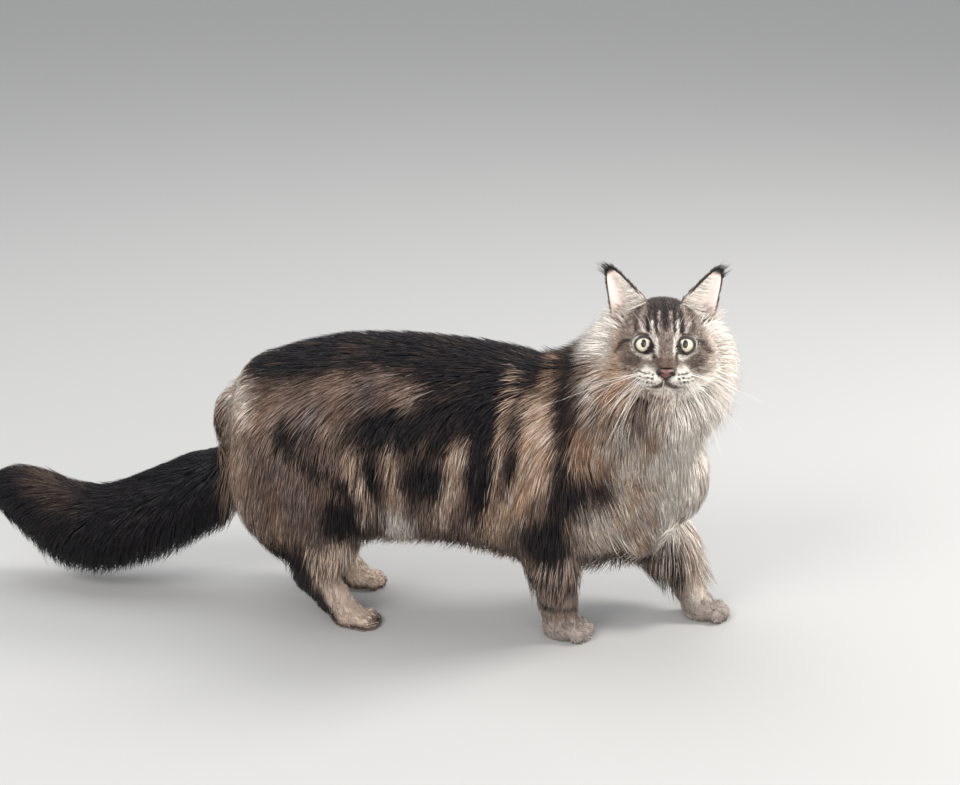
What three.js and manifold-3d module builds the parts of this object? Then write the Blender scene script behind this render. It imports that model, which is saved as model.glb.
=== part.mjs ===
// A life-size Maine Coon cat as a still model. It stands side-on, its head is turned to its right
// and its tail trails low behind it. Millimetres, +Z up, +X the way the body faces, +Y the cat's left.
// The body is one smooth field of distances. Each node is the part of that field round its own form,
// and meets its neighbours at thin gaps.
import * as THREE from "three";
import { mergeVertices } from "three/addons/utils/BufferGeometryUtils.js";
import Module from "manifold-3d";

const wasm = await Module();
wasm.setup();

// Driving sizes
const GAP = 0.6; // left between neighbours
const CORE_SHARE = 0.5; // how far a long-coated form's core reaches from the flesh to the tips of its locks
const LOCK = { length: 96, width: 42, thickness: 7, sunk: 7 };

// The trunk, as stations along X: x, then top, bottom and half width of the coat, then of the flesh
const TRUNK = [
  [-206, 276, 180, 32, 256, 206, 20],
  [-197, 294, 154, 54, 274, 180, 36],
  [-184, 305, 136, 69, 289, 158, 46],
  [-150, 319, 112, 80, 305, 140, 58],
  [-95, 336, 92, 87, 323, 134, 63],
  [-30, 343, 84, 88, 332, 132, 63],
  [45, 342, 88, 87, 331, 130, 62],
  [115, 337, 78, 82, 325, 118, 59],
  [175, 330, 76, 78, 316, 114, 56],
  [235, 312, 88, 72, 292, 128, 50],
  [288, 288, 116, 62, 262, 150, 38],
  [304, 277, 128, 50, 254, 154, 34],
  [317, 263, 144, 35, 246, 162, 26],
];

// The tail, in the same way: the tail itself lies high in the plume that hangs from it
const TAIL = [
  [-192, 236, 150, 22, 232, 196, 17],
  [-217, 208, 98, 30, 203, 170, 16],
  [-264, 181, 62, 37, 174, 144, 15],
  [-314, 157, 30, 42, 149, 121, 14],
  [-369, 133, 10, 44, 125, 99, 13],
  [-408, 130, 6, 43, 122, 98, 11],
  [-440, 139, 14, 38, 131, 109, 10],
  [-470, 148, 40, 32, 140, 120, 9],
  [-500, 145, 78, 24, 137, 121, 7],
  [-524, 132, 100, 14, 126, 116, 5],
  [-536, 120, 110, 4, 118, 114, 3],
];

// Neck and legs, as points along them: x, y, z, radius of the coat, radius of the flesh
const NECK = [
  [200, 0, 226, 84, 50],
  [244, -6, 276, 88, 46],
  [274, -20, 314, 86, 42],
  [281, -32, 344, 62, 38],
];
const SIDES = { right: -1, left: 1 };
const FORELEG = {
  right: [
    [176, -42, 206, 44, 30],
    [160, -47, 138, 36, 23],
    [170, -43, 88, 28, 17],
    [174, -40, 44, 23, 13],
    [179, -38, 20, 21, 13],
  ],
  left: [
    [206, 42, 200, 44, 30],
    [248, 44, 140, 36, 23],
    [294, 40, 84, 25, 16],
    [316, 38, 42, 19, 12],
    [328, 37, 20, 19, 12],
  ],
};
const HIND_LEG = {
  right: [
    [-92, -46, 96, 36, 20],
    [-108, -52, 62, 25, 14],
    [-88, -53, 36, 20, 12],
    [-74, -52, 18, 18, 12],
  ],
  left: [
    [-100, 46, 96, 36, 20],
    [-122, 50, 62, 25, 14],
    [-104, 50, 36, 20, 12],
    [-88, 49, 18, 18, 12],
  ],
};
// The thigh is a flattened ball: centre, coat radii, flesh radii
const THIGH = {
  right: [[-118, -48, 172], [92, 42, 100], [66, 26, 70]],
  left: [[-122, 48, 172], [90, 42, 100], [66, 26, 70]],
};
// Paws: where the middle of the paw stands, and the way its toes point, in degrees from +X
const PAW = {
  fore: {
    right: { at: [184, -38], turn: -4, long: 31, wide: 23, high: 17 },
    left: { at: [338, 37], turn: 0, long: 29, wide: 22, high: 16 },
  },
  hind: {
    right: { at: [-62, -52], turn: 0, long: 28, wide: 20, high: 15 },
    left: { at: [-76, 49], turn: 2, long: 28, wide: 20, high: 15 },
  },
};

// The head's own frame: its middle, behind the eyes, and the way the face looks
const HEAD = {
  middle: new THREE.Vector3(283, -52, 367),
  forward: new THREE.Vector3(0.12, -0.966, 0.2).normalize(),
};
const EYE = { forward: 33, aside: 21.5, up: 0, radius: 12 };
const LID = { width: 20, height: 16.5, slant: 12, thickness: 1.6 };
const NOSE = { forward: 77, up: -27, width: 18 };
// The line of the mouth, from below the nose to a corner: forward, aside, up
const MOUTH = [
  [74, 0, -32],
  [74, 0.4, -36],
  [72, 3, -40],
  [68, 9, -42],
  [62, 14, -41],
  [55, 18, -38],
  [50, 19, -36],
];
// Tufts of an ear: how far up it they start, how far in and out of its cup, their length and width
const EAR_TUFTS = [
  [0.9, 0, 0, 19, 6],
  [0.82, 2, 1, 15, 6],
  [0.12, -9, 5, 26, 7],
  [0.26, -6, 4, 24, 6],
];
const HEAD_BACK = { at: -16, normal: [0.87, 0.5] }; // the plane that ends the head behind
const EAR = {
  base: [-8, 34, 33], // forward, aside, up
  tip: [-8, 60, 80],
  width: 23,
  depth: 15,
  wall: 3,
};

// The head's frame as a matrix: x forward, y to the cat's left, z up
const headUp = new THREE.Vector3(0, 0, 1)
  .addScaledVector(HEAD.forward, -HEAD.forward.z)
  .normalize();
const headLeft = new THREE.Vector3().crossVectors(headUp, HEAD.forward);
const HEAD_FRAME = new THREE.Matrix4()
  .makeBasis(HEAD.forward, headLeft, headUp)
  .setPosition(HEAD.middle);
const INTO_HEAD = HEAD_FRAME.clone().invert();

// Fields: negative inside, in millimetres

const mix = (a, b, t) => a + (b - a) * t;
const clamp = (v, low, high) => Math.min(high, Math.max(low, v));

// The lesser of two distances, with a fillet of about this size where they meet
function blend(a, b, size) {
  const h = Math.max(size - Math.abs(a - b), 0) / size;
  return Math.min(a, b) - (h * h * size) / 4;
}

// Smooth values between stations, by a cubic through the neighbours
function alongStations(rows, x) {
  const falling = rows[0][0] > rows[rows.length - 1][0];
  const order = falling ? -1 : 1;
  let i = 0;
  while (i < rows.length - 2 && order * (x - rows[i + 1][0]) > 0) i++;
  const p0 = rows[Math.max(i - 1, 0)];
  const p1 = rows[i];
  const p2 = rows[i + 1];
  const p3 = rows[Math.min(i + 2, rows.length - 1)];
  const span = p2[0] - p1[0];
  const t = clamp((x - p1[0]) / span, 0, 1);
  return p1.slice(1).map((v, k) => {
    const w = k + 1;
    const m1 = ((p2[w] - p0[w]) / (p2[0] - p0[0])) * span;
    const m2 = ((p3[w] - p1[w]) / (p3[0] - p1[0])) * span;
    const t2 = t * t;
    const t3 = t2 * t;
    return (
      (2 * t3 - 3 * t2 + 1) * v +
      (t3 - 2 * t2 + t) * m1 +
      (3 * t2 - 2 * t3) * p2[w] +
      (t3 - t2) * m2
    );
  });
}

// A form lofted along X from stations
function lofted(rows, share) {
  const first = Math.min(rows[0][0], rows[rows.length - 1][0]);
  const last = Math.max(rows[0][0], rows[rows.length - 1][0]);
  return (x, y, z) => {
    const [top, bottom, half, fleshTop, fleshBottom, fleshHalf] = alongStations(rows, x);
    const high = mix(fleshTop, top, share);
    const low = mix(fleshBottom, bottom, share);
    const wide = Math.max(mix(fleshHalf, half, share), 1);
    const tall = Math.max((high - low) / 2, 1);
    const past = Math.max(first - x, x - last, 0);
    const q = Math.hypot(y / wide, (z - (high + low) / 2) / tall);
    const least = Math.min(wide, tall);
    return Math.hypot(q * least, past) - least;
  };
}

// A chain of cones with round ends
function chain(points, share) {
  const rows = points.map(([x, y, z, coat, flesh]) => [x, y, z, mix(flesh, coat, share)]);
  return (x, y, z) => {
    let best = Infinity;
    for (let i = 0; i + 1 < rows.length; i++) {
      const a = rows[i];
      const b = rows[i + 1];
      const dx = b[0] - a[0];
      const dy = b[1] - a[1];
      const dz = b[2] - a[2];
      const dot = (x - a[0]) * dx + (y - a[1]) * dy + (z - a[2]) * dz;
      const t = clamp(dot / (dx * dx + dy * dy + dz * dz), 0, 1);
      const away = Math.hypot(x - a[0] - dx * t, y - a[1] - dy * t, z - a[2] - dz * t);
      best = blend(best, away - mix(a[3], b[3], t), 6);
    }
    return best;
  };
}

// A ball with three radii, which may be turned about Z by an angle in degrees
function ball([cx, cy, cz], [rx, ry, rz], turn = 0) {
  const c = Math.cos(THREE.MathUtils.degToRad(turn));
  const s = Math.sin(THREE.MathUtils.degToRad(turn));
  return (x, y, z) => {
    const u = ((x - cx) * c + (y - cy) * s) / rx;
    const v = ((y - cy) * c - (x - cx) * s) / ry;
    const w = (z - cz) / rz;
    const q = Math.hypot(u, v, w);
    const slope = Math.hypot(u / rx, v / ry, w / rz);
    return q < 1e-6 ? -Math.min(rx, ry, rz) : (q * (q - 1)) / slope;
  };
}

// The least of several fields, with one size of fillet
const joined = (fields, size) => (x, y, z) =>
  fields.reduce((d, f) => blend(d, f(x, y, z), size), 1e3);

// A paw: a flat ball with four toes at its front
function pawField({ at: [x, y], turn, long, wide, high }) {
  const angle = THREE.MathUtils.degToRad(turn);
  const place = (forward, aside, up) => [
    x + forward * Math.cos(angle) - aside * Math.sin(angle),
    y + forward * Math.sin(angle) + aside * Math.cos(angle),
    up,
  ];
  const toes = [-0.66, -0.24, 0.24, 0.66].map((share) => {
    const inner = Math.abs(share) < 0.5;
    const forward = long * (inner ? 0.72 : 0.5);
    const radius = wide * 0.34;
    return ball(place(forward, share * wide, high * 0.5), [long * 0.36, radius, high * 0.66], turn);
  });
  const pad = ball(place(-long * 0.12, 0, high * 0.6), [long * 0.8, wide * 0.92, high], turn);
  return joined([...toes, pad], 3.5);
}

// The head in its own frame
const headForms = (() => {
  const pair = (at, radii) =>
    [-1, 1].map((side) => ball([at[0], at[1] * side, at[2]], radii));
  const skull = ball([-4, 0, 8], [44, 41, 38]);
  const cheeks = pair([4, 30, -14], [34, 24, 27]);
  const face = ball([30, 0, -12], [26, 27, 28]);
  const bridge = chain([[28, 0, 14, 14, 14], [52, 0, 0, 9.5, 9.5], [72, 0, -17, 8.5, 8.5]], 1);
  const brows = pair([22, 21, 13], [15, 13, 10]);
  const muzzle = ball([48, 0, -28], [22, 23, 16]);
  const whiskerPads = pair([59, 14.5, -32], [16.5, 16, 12]);
  const chin = ball([54, 0, -44], [13, 15, 9]);
  const jaw = ball([20, 0, -36], [34, 26, 16]);
  return joined(
    [
      joined([skull, ...cheeks, face, jaw], 14),
      joined([bridge, ...brows], 6),
      joined([muzzle, ...whiskerPads, chin], 5),
    ],
    9,
  );
})();
const inHead = new THREE.Vector3();
function headField(x, y, z) {
  inHead.set(x, y, z).applyMatrix4(INTO_HEAD);
  return headForms(inHead.x, inHead.y, inHead.z);
}

// The body's forms. A share says how far the long-coated ones reach from the flesh to the coat's tips.
function bodyForms(share) {
  const forms = { trunk: lofted(TRUNK, share), tail: lofted(TAIL, share), neck: chain(NECK, share) };
  const limbs = Object.keys(SIDES).map((side) => {
    const [centre, coat, flesh] = THIGH[side];
    const thigh = ball(centre, coat.map((r, i) => mix(flesh[i], r, share)));
    const foreleg = chain(FORELEG[side], 1);
    const hindLeg = chain(HIND_LEG[side], 1);
    const forepaw = pawField(PAW.fore[side]);
    const hindPaw = pawField(PAW.hind[side]);
    forms[side] = { thigh, foreleg, hindLeg, forepaw, hindPaw };
    const fore = joined([foreleg, forepaw], 8);
    const hind = joined([thigh, joined([hindLeg, hindPaw], 8)], 20);
    return (x, y, z) => Math.min(fore(x, y, z), hind(x, y, z));
  });
  forms.whole = (x, y, z) => {
    const legs = Math.min(limbs[0](x, y, z), limbs[1](x, y, z));
    const long = blend(forms.trunk(x, y, z), forms.neck(x, y, z), 34);
    const middle = blend(long, forms.tail(x, y, z), 18);
    return blend(blend(middle, legs, 22), headField(x, y, z), 10);
  };
  return forms;
}
const core = bodyForms(CORE_SHARE);
const coat = bodyForms(1);

// Solids

// A closed geometry as a manifold
function solidOf(geometry) {
  const bare = geometry.clone();
  bare.deleteAttribute("normal");
  bare.deleteAttribute("uv");
  const merged = mergeVertices(bare, 1e-4);
  const index = merged.index.array;
  const kept = [];
  for (let i = 0; i < index.length; i += 3) {
    const [a, b, c] = [index[i], index[i + 1], index[i + 2]];
    if (a !== b && b !== c && a !== c) kept.push(a, b, c);
  }
  return new wasm.Manifold(
    new wasm.Mesh({
      numProp: 3,
      vertProperties: new Float32Array(merged.attributes.position.array),
      triVerts: new Uint32Array(kept),
    }),
  );
}

// Where a ray from inside a field leaves it
function exit(field, from, way, far = 400) {
  const step = 3;
  const at = (s) => field(from.x + way.x * s, from.y + way.y * s, from.z + way.z * s);
  let near = 0;
  let out = step;
  while (out < far && at(out) < 0) {
    near = out;
    out += step;
  }
  for (let i = 0; i < 14; i++) {
    const middle = (near + out) / 2;
    if (at(middle) < 0) near = middle;
    else out = middle;
  }
  return near;
}

// A sphere whose rows are spread along an axis and whose vertices are pulled out to a field's surface
function wrap(field, axis, { rows, columns, grow = 0, up = new THREE.Vector3(0, 0, 1), ends = 3 }) {
  const path = axis.length > 1 ? new THREE.CatmullRomCurve3(axis) : null;
  const chord = path ? path.getPoint(1).sub(path.getPoint(0)).normalize() : up;
  const geometry = new THREE.SphereGeometry(1, columns, rows);
  const place = geometry.attributes.position;
  const unit = new THREE.Vector3();
  for (let i = 0; i < place.count; i++) {
    unit.fromBufferAttribute(place, i).normalize();
    const share = 1 - Math.acos(clamp(unit.y, -1, 1)) / Math.PI;
    const base = path ? path.getPoint(share) : axis[0].clone();
    const along = chord.clone();
    const reference = Math.abs(along.dot(up)) > 0.95 ? new THREE.Vector3(1, 0, 0) : up;
    const aside = new THREE.Vector3().crossVectors(along, reference).normalize();
    const over = new THREE.Vector3().crossVectors(aside, along);
    const lean = path ? Math.sign(unit.y) * Math.abs(unit.y) ** ends : unit.y;
    const way = aside
      .multiplyScalar(unit.x)
      .addScaledVector(over, unit.z)
      .addScaledVector(along, lean)
      .normalize();
    const reach = exit(field, base, way) + grow;
    place.setXYZ(i, base.x + way.x * reach, base.y + way.y * reach, base.z + way.z * reach);
  }
  return solidOf(geometry);
}

// A solid along a path of points with normals: rings of a few sides, flattened against the normal,
// and a point at each end. Width and thickness are given for each point.
function strandShape(path, widths, thicknesses, sides = 4) {
  const geometry = new THREE.SphereGeometry(1, sides, path.length - 1);
  const place = geometry.attributes.position;
  for (let i = 0; i < place.count; i++) {
    const [x, y, z] = [place.getX(i), place.getY(i), place.getZ(i)];
    const k = Math.round((1 - Math.acos(clamp(y, -1, 1)) / Math.PI) * (path.length - 1));
    const rim = Math.max(Math.hypot(x, z), 1e-6);
    const { at, normal } = path[k];
    const along = path[Math.min(k + 1, path.length - 1)].at
      .clone()
      .sub(path[Math.max(k - 1, 0)].at)
      .normalize();
    const side = new THREE.Vector3().crossVectors(along, normal).normalize();
    const up = new THREE.Vector3().crossVectors(side, along);
    const place3 = at
      .clone()
      .addScaledVector(side, ((x / rim) * widths[k]) / 2)
      .addScaledVector(up, ((z / rim) * thicknesses[k]) / 2);
    place.setXYZ(i, place3.x, place3.y, place3.z);
  }
  return geometry;
}

// The way out of a field at a point
function slope(field, { x, y, z }, reach = 1.5) {
  return new THREE.Vector3(
    field(x + reach, y, z) - field(x - reach, y, z),
    field(x, y + reach, z) - field(x, y - reach, z),
    field(x, y, z + reach) - field(x, y, z - reach),
  ).normalize();
}

let seed = 23;
function random(low, high) {
  seed = (seed * 16807) % 2147483647;
  return low + ((high - low) * seed) / 2147483647;
}

// A lock: it grows from inside the core, lies along the coat by its heading, and its tip comes out to
// the coat's own surface, or past it by its lift
function lock(root, heading, { length, width, fall = 0.25, lift = 0 }) {
  const depth = coat.whole(root.x, root.y, root.z);
  const depths = [depth - LOCK.sunk, depth + 1, depth * 0.55, depth * 0.2, lift];
  const at = root.clone();
  const way = heading.clone().normalize();
  const path = depths.map((target, i) => {
    const out = slope(coat.whole, at);
    if (i > 0) {
      way.z -= fall / 4;
      way.addScaledVector(out, -way.dot(out)).normalize();
      at.addScaledVector(way, length / 4);
    }
    for (let turn = 0; turn < 2; turn++) {
      out.copy(slope(coat.whole, at));
      at.addScaledVector(out, target - coat.whole(at.x, at.y, at.z));
    }
    return { at: at.clone(), normal: out };
  });
  return { path, width };
}

// The solid of a lock, or with a gap the room that it needs
function lockSolid({ path, width }, gap) {
  const last = path[path.length - 1].at;
  const way = last.clone().sub(path[path.length - 2].at).normalize();
  const ends = path.map((p) => ({ ...p }));
  if (gap > 0) ends[ends.length - 1].at = last.clone().addScaledVector(way, 3);
  const share = [0, 0.8, 1, 0.66, 0];
  const widths = share.map((w) => (w > 0 ? w * width + gap * 12 : 0));
  const thicknesses = share.map((w) => (w > 0 ? w * LOCK.thickness + gap * 5 : 0));
  return solidOf(strandShape(ends, widths, thicknesses));
}

// Keeps what lies on the side of a plane that its normal points to
function trim(solid, point, normal, grow = 0) {
  const n = new THREE.Vector3(...normal).normalize();
  return solid.trimByPlane(n.toArray(), n.dot(new THREE.Vector3(...point)) - grow);
}

function largest(solid) {
  const pieces = solid.decompose();
  return pieces.reduce((a, b) => (a.volume() > b.volume() ? a : b));
}

// The part of the body round its own form: no further than a margin outside it. Bare, it is not
// held to the body's surface, so that it clears all that a neighbour has there.
const around = (own, margin, bare) => (x, y, z) => {
  const reach = own(x, y, z) - margin;
  return bare ? reach : Math.max(core.whole(x, y, z), reach);
};

// A form's outline in the plane of one y, as a prism
const prism = (own, middle) => (x, y, z) =>
  Math.max(own(x, middle, z), Math.abs(y - middle) - 70);

const points = (rows) => rows.map(([x, y, z]) => new THREE.Vector3(x, y, z));
const FLOOR = [[0, 0, 0], [0, 0, 1]];

// Head pieces

const fromHead = (forward, aside, up) =>
  new THREE.Vector3(forward, aside, up).applyMatrix4(HEAD_FRAME);

// Turns a geometry made in the head's frame, x forward and z up, into place
const placed = (geometry) => solidOf(geometry.applyMatrix4(HEAD_FRAME));

function eye(side, grow) {
  const globe = new THREE.SphereGeometry(EYE.radius + grow, 14, 8).rotateZ(-Math.PI / 2);
  return placed(globe.translate(EYE.forward, EYE.aside * side, EYE.up));
}

// The almond opening between the lids, as a cutter along the way the eye looks
function lidOpening(side) {
  const shape = new THREE.Shape();
  const half = LID.width / 2;
  const tall = LID.height / 2;
  shape.moveTo(-half, 0);
  shape.bezierCurveTo(-half * 0.75, tall * 1.25, half * 0.5, tall * 1.35, half, 0);
  shape.bezierCurveTo(half * 0.6, -tall * 1.25, -half * 0.6, -tall * 1.4, -half, 0);
  const almond = new THREE.ExtrudeGeometry(shape, {
    depth: 40,
    bevelEnabled: false,
    curveSegments: 8,
  });
  // the shape lies in its own x and y: its x points outwards from the nose, its y up
  const turn = THREE.MathUtils.degToRad(LID.slant * side);
  const basis = new THREE.Matrix4().makeBasis(
    new THREE.Vector3(0, 1, 0),
    new THREE.Vector3(0, 0, 1),
    new THREE.Vector3(1, 0, 0),
  );
  almond.rotateZ(turn).applyMatrix4(basis);
  return placed(almond.translate(EYE.forward + 2, EYE.aside * side, EYE.up));
}

function nose(grow) {
  const field = joined(
    [
      ball([NOSE.forward - 4, 0, NOSE.up + 2], [7 + grow, 7.5 + grow, 5.5 + grow]),
      ball([NOSE.forward - 6, 5, NOSE.up + 2], [6 + grow, 4.5 + grow, 4 + grow]),
      ball([NOSE.forward - 6, -5, NOSE.up + 2], [6 + grow, 4.5 + grow, 4 + grow]),
      ball([NOSE.forward - 5, 0, NOSE.up - 3], [5 + grow, 2.6 + grow, 4 + grow]),
    ],
    3,
  );
  const centre = [new THREE.Vector3(NOSE.forward - 7, 0, NOSE.up)];
  let leather = wrap(field, centre, { rows: 8, columns: 14 });
  if (grow === 0) {
    const nostrils = [-1, 1].map((side) => {
      const hole = new THREE.SphereGeometry(1, 8, 6).scale(2.6, 1.9, 1.3).rotateX(0.5 * side);
      return solidOf(hole.translate(NOSE.forward + 1, 4.6 * side, NOSE.up + 0.6));
    });
    leather = wasm.Manifold.difference([leather, ...nostrils]);
  }
  return leather.transform(HEAD_FRAME.toArray());
}

// An ear: a crescent section that widens from a closed foot and narrows to the tip
function ear(side, grow) {
  const base = new THREE.Vector3(EAR.base[0], EAR.base[1] * side, EAR.base[2]);
  const tip = new THREE.Vector3(EAR.tip[0], EAR.tip[1] * side, EAR.tip[2]);
  const along = tip.clone().sub(base);
  const tall = along.length();
  along.normalize();
  const open = new THREE.Vector3(0.9, 0.42 * side, 0);
  open.addScaledVector(along, -open.dot(along)).normalize();
  const across = new THREE.Vector3().crossVectors(along, open);
  const geometry = new THREE.SphereGeometry(1, 16, 10);
  const place = geometry.attributes.position;
  for (let i = 0; i < place.count; i++) {
    const [x, y, z] = [place.getX(i), place.getY(i), place.getZ(i)];
    const share = 1 - Math.acos(clamp(y, -1, 1)) / Math.PI;
    const turn = Math.atan2(z, x);
    const rim = Math.hypot(x, z) > 1e-6 ? 1 : 0;
    const swell = Math.min(1, share * 5) * Math.sqrt(Math.max(1 - share, 0)) * (1.12 - share * 0.3);
    const wide = (EAR.width * swell + grow) * rim;
    const back = z < -1e-6;
    const wall = Math.min(EAR.wall, wide * 0.4);
    const deep = EAR.depth * swell * (1 - share * 0.35);
    const sway = Math.cos(turn) * wide;
    const round = Math.abs(Math.sin(turn)) * rim;
    const cup = grow > 0 ? grow : -round * deep;
    const hollow = rim * (back ? -grow - round * (deep + wall) : cup);
    const height = mix(-14 - grow, tall + grow, share);
    const at = base
      .clone()
      .addScaledVector(along, height)
      .addScaledVector(across, sway)
      .addScaledVector(open, hollow + deep * 0.6);
    place.setXYZ(i, at.x, at.y, at.z);
  }
  if (grow > 0) return placed(geometry);
  const outwards = new THREE.Vector3(-4, 9 * side, 5);
  const tufts = EAR_TUFTS.map(([share, inset, rise, length, width]) => {
    const from = base
      .clone()
      .addScaledVector(along, tall * share)
      .addScaledVector(across, inset * side)
      .addScaledVector(open, rise);
    const way = along.clone().multiplyScalar(length * 0.9).addScaledVector(outwards, length / 36);
    const path = [0, 0.3, 0.65, 1].map((t) => ({
      at: from.clone().addScaledVector(way, t),
      normal: open.clone(),
    }));
    return placed(strandShape(path, [0, width, width * 0.8, 0], [0, 4.5, 3.5, 0]));
  });
  return wasm.Manifold.union([placed(geometry), ...tufts]);
}

// The line of the mouth and its lips, over the muzzle from the middle to a corner
function mouthPath(side) {
  return MOUTH.map(([forward, aside, up]) => {
    const from = new THREE.Vector3(40, 0, up + 2);
    const way = new THREE.Vector3(forward, aside * side, up).sub(from).normalize();
    return { at: from.clone().addScaledVector(way, exit(headForms, from, way)), normal: way };
  });
}

function mouthPieces(side, drop, width, deep) {
  const path = mouthPath(side).map(({ at, normal }) => ({
    at: at.clone().add(new THREE.Vector3(0, 0, -drop)),
    normal,
  }));
  const last = path.length - 1;
  const widths = path.map((_, i) => (i === 0 || i === last ? 0 : width));
  const depths = path.map((_, i) => (i === 0 || i === last ? 0 : deep));
  return placed(strandShape(path, widths, depths, 6));
}

function head(grow, bare) {
  const own = around(headField, 20, bare);
  const centre = [fromHead(14, 0, -4)];
  let solid = wrap(own, centre, { rows: 22, columns: 28, grow, up: HEAD.forward });
  const lids = [-1, 1].map((side) => {
    const radius = EYE.radius + LID.thickness + grow;
    const lid = new THREE.SphereGeometry(radius, 14, 8).rotateZ(-Math.PI / 2);
    return placed(lid.translate(EYE.forward, EYE.aside * side, EYE.up));
  });
  solid = wasm.Manifold.union([solid, ...lids]);
  if (!bare) {
    const lips = [-1, 1].map((side) => mouthPieces(side, 2.2, 2.6, 3));
    const lines = [-1, 1].map((side) => mouthPieces(side, 0, 1.6, 5));
    solid = wasm.Manifold.union([solid, ...lips]);
    solid = wasm.Manifold.difference([solid, lidOpening(-1), lidOpening(1), ...lines]);
  }
  const back = fromHead(HEAD_BACK.normal[0], 0, HEAD_BACK.normal[1]).sub(HEAD.middle);
  return trim(solid, fromHead(HEAD_BACK.at, 0, 0).toArray(), back.toArray(), grow);
}

// Body pieces

const neckPiece = (grow, bare) =>
  trim(
    wrap(around(core.neck, 20, bare), points(NECK), { rows: 10, columns: 18, grow, ends: 5 }),
    [238, 0, 256],
    [0.66, -0.1, 0.74],
    grow,
  );

const pawPiece = (field, { at, high, long }, cut) => (grow, bare) => {
  const centre = [new THREE.Vector3(at[0] + long * 0.1, at[1], high * 0.55)];
  let solid = wrap(around(field, 6, bare), centre, { rows: 10, columns: 16, grow });
  solid = trim(solid, ...cut, grow);
  return bare ? solid : trim(solid, ...FLOOR);
};

// The legs' joints, as planes that keep what lies below them
const WRIST = {
  right: [[176, -40, 32], [0.1, 0, -1]],
  left: [[322, 38, 30], [0.45, 0, -1]],
};
const ELBOW = {
  right: [[165, -45, 104], [0.05, 0, -1]],
  left: [[276, 42, 106], [0.35, 0, -1]],
};
const ANKLE = {
  right: [[-78, -52, 27], [0.5, 0, -1]],
  left: [[-56, 49, 27], [0.5, 0, -1]],
};
const KNEE = {
  right: [[-100, -50, 84], [0.1, 0, -1]],
  left: [[-78, 48, 84], [0.1, 0, -1]],
};

const legPiece = (field, rows, cut) => (grow, bare) =>
  trim(
    wrap(around(field, 8, bare), points(rows), { rows: 9, columns: 12, grow, ends: 5 }),
    ...cut,
    grow,
  );

// Shoulder and thigh are cut from the trunk by planes that lean in under the belly
const shoulderPiece = (side) => (grow, bare) => {
  const rows = FORELEG[side].slice(0, 3);
  const own = around(prism(core[side].foreleg, SIDES[side] * 44), 6, bare);
  const solid = wrap(own, points(rows), { rows: 10, columns: 14, grow });
  return trim(solid, [190, SIDES[side] * 46, 170], [0, SIDES[side], -0.42], grow);
};
const thighPiece = (side) => (grow, bare) => {
  const [[x, y, z]] = THIGH[side];
  const axis = [new THREE.Vector3(x + 4, y, z + 40), new THREE.Vector3(x + 24, y, z - 76)];
  const own = joined([core[side].thigh, core[side].hindLeg], 20);
  const form = around(prism(own, SIDES[side] * 48), 2, bare);
  const solid = wrap(form, axis, { rows: 10, columns: 16, grow, ends: 2 });
  return trim(solid, [x, SIDES[side] * 44, 170], [0, SIDES[side], -0.42], grow);
};

const TAIL_JOINTS = [-542, -430, -330, -214]; // from its tip to its root
const tailPiece = (from, to) => (grow, bare) => {
  const axis = [from + 12, (from + to) / 2, to - 12].map((x) => {
    const [top, bottom] = alongStations(TAIL, clamp(x, TAIL[TAIL.length - 1][0] + 4, TAIL[0][0]));
    return new THREE.Vector3(x, 0, (top + bottom) / 2);
  });
  let solid = wrap(around(core.tail, 10, bare), axis, { rows: 8, columns: 12, grow, ends: 7 });
  solid = trim(solid, [from, 0, 0], [-1, 0, 0], grow);
  return to > TAIL[TAIL.length - 1][0] ? trim(solid, [to, 0, 0], [1, 0, 0], grow) : solid;
};

const torsoPiece = (grow, bare) => {
  const axis = [-204, -120, 0, 120, 220, 306].map((x) => {
    const [top, bottom] = alongStations(TRUNK, x);
    return new THREE.Vector3(x, 0, (top + bottom) / 2);
  });
  return wrap(around(core.trunk, 16, bare), axis, { rows: 18, columns: 16, grow, ends: 5 });
};

// Locks of the coat, in rows round each long-coated form

// Where a ray from a form's middle comes out of the core
function rootAt(middle, way) {
  return middle.clone().addScaledVector(way, exit(core.whole, middle, way));
}

// Free of the forms that other nodes take
const clearOf = (root, fields, margin) => fields.every((f) => f(root.x, root.y, root.z) > margin);

function torsoLocks() {
  const taken = [
    core.neck,
    prism(core.right.thigh, -48),
    prism(core.left.thigh, 48),
    prism(core.right.foreleg, -44),
    prism(core.left.foreleg, 44),
  ];
  const locks = [];
  for (let row = 0; row < 9; row++) {
    const x = 300 - row * 61;
    const [top, bottom] = alongStations(TRUNK, clamp(x, TRUNK[0][0], 322));
    const around = row === 0 || row === 8 ? 5 : 8;
    for (let k = 0; k < around; k++) {
      const angle = ((k + (row % 2) * 0.5 + random(-0.12, 0.12)) / around) * 2 * Math.PI;
      const way = new THREE.Vector3(0, Math.sin(angle), Math.cos(angle));
      const middle = new THREE.Vector3(Math.max(x + random(-8, 8), -205), 0, (top + bottom) / 2);
      const root = rootAt(middle, way);
      if (!clearOf(root, taken, 4)) continue;
      const under = (1 - Math.cos(angle)) / 2;
      const heading = new THREE.Vector3(-1 + under * 0.55, 0, -under * 1.5);
      const length = LOCK.length * random(0.85, 1.1) * (under > 0.85 ? 0.7 : 1);
      const lift = under > 0.8 ? 4 : 0;
      locks.push(lock(root, heading, { length, width: LOCK.width * random(0.85, 1.1), lift }));
    }
  }
  return locks;
}

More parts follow.
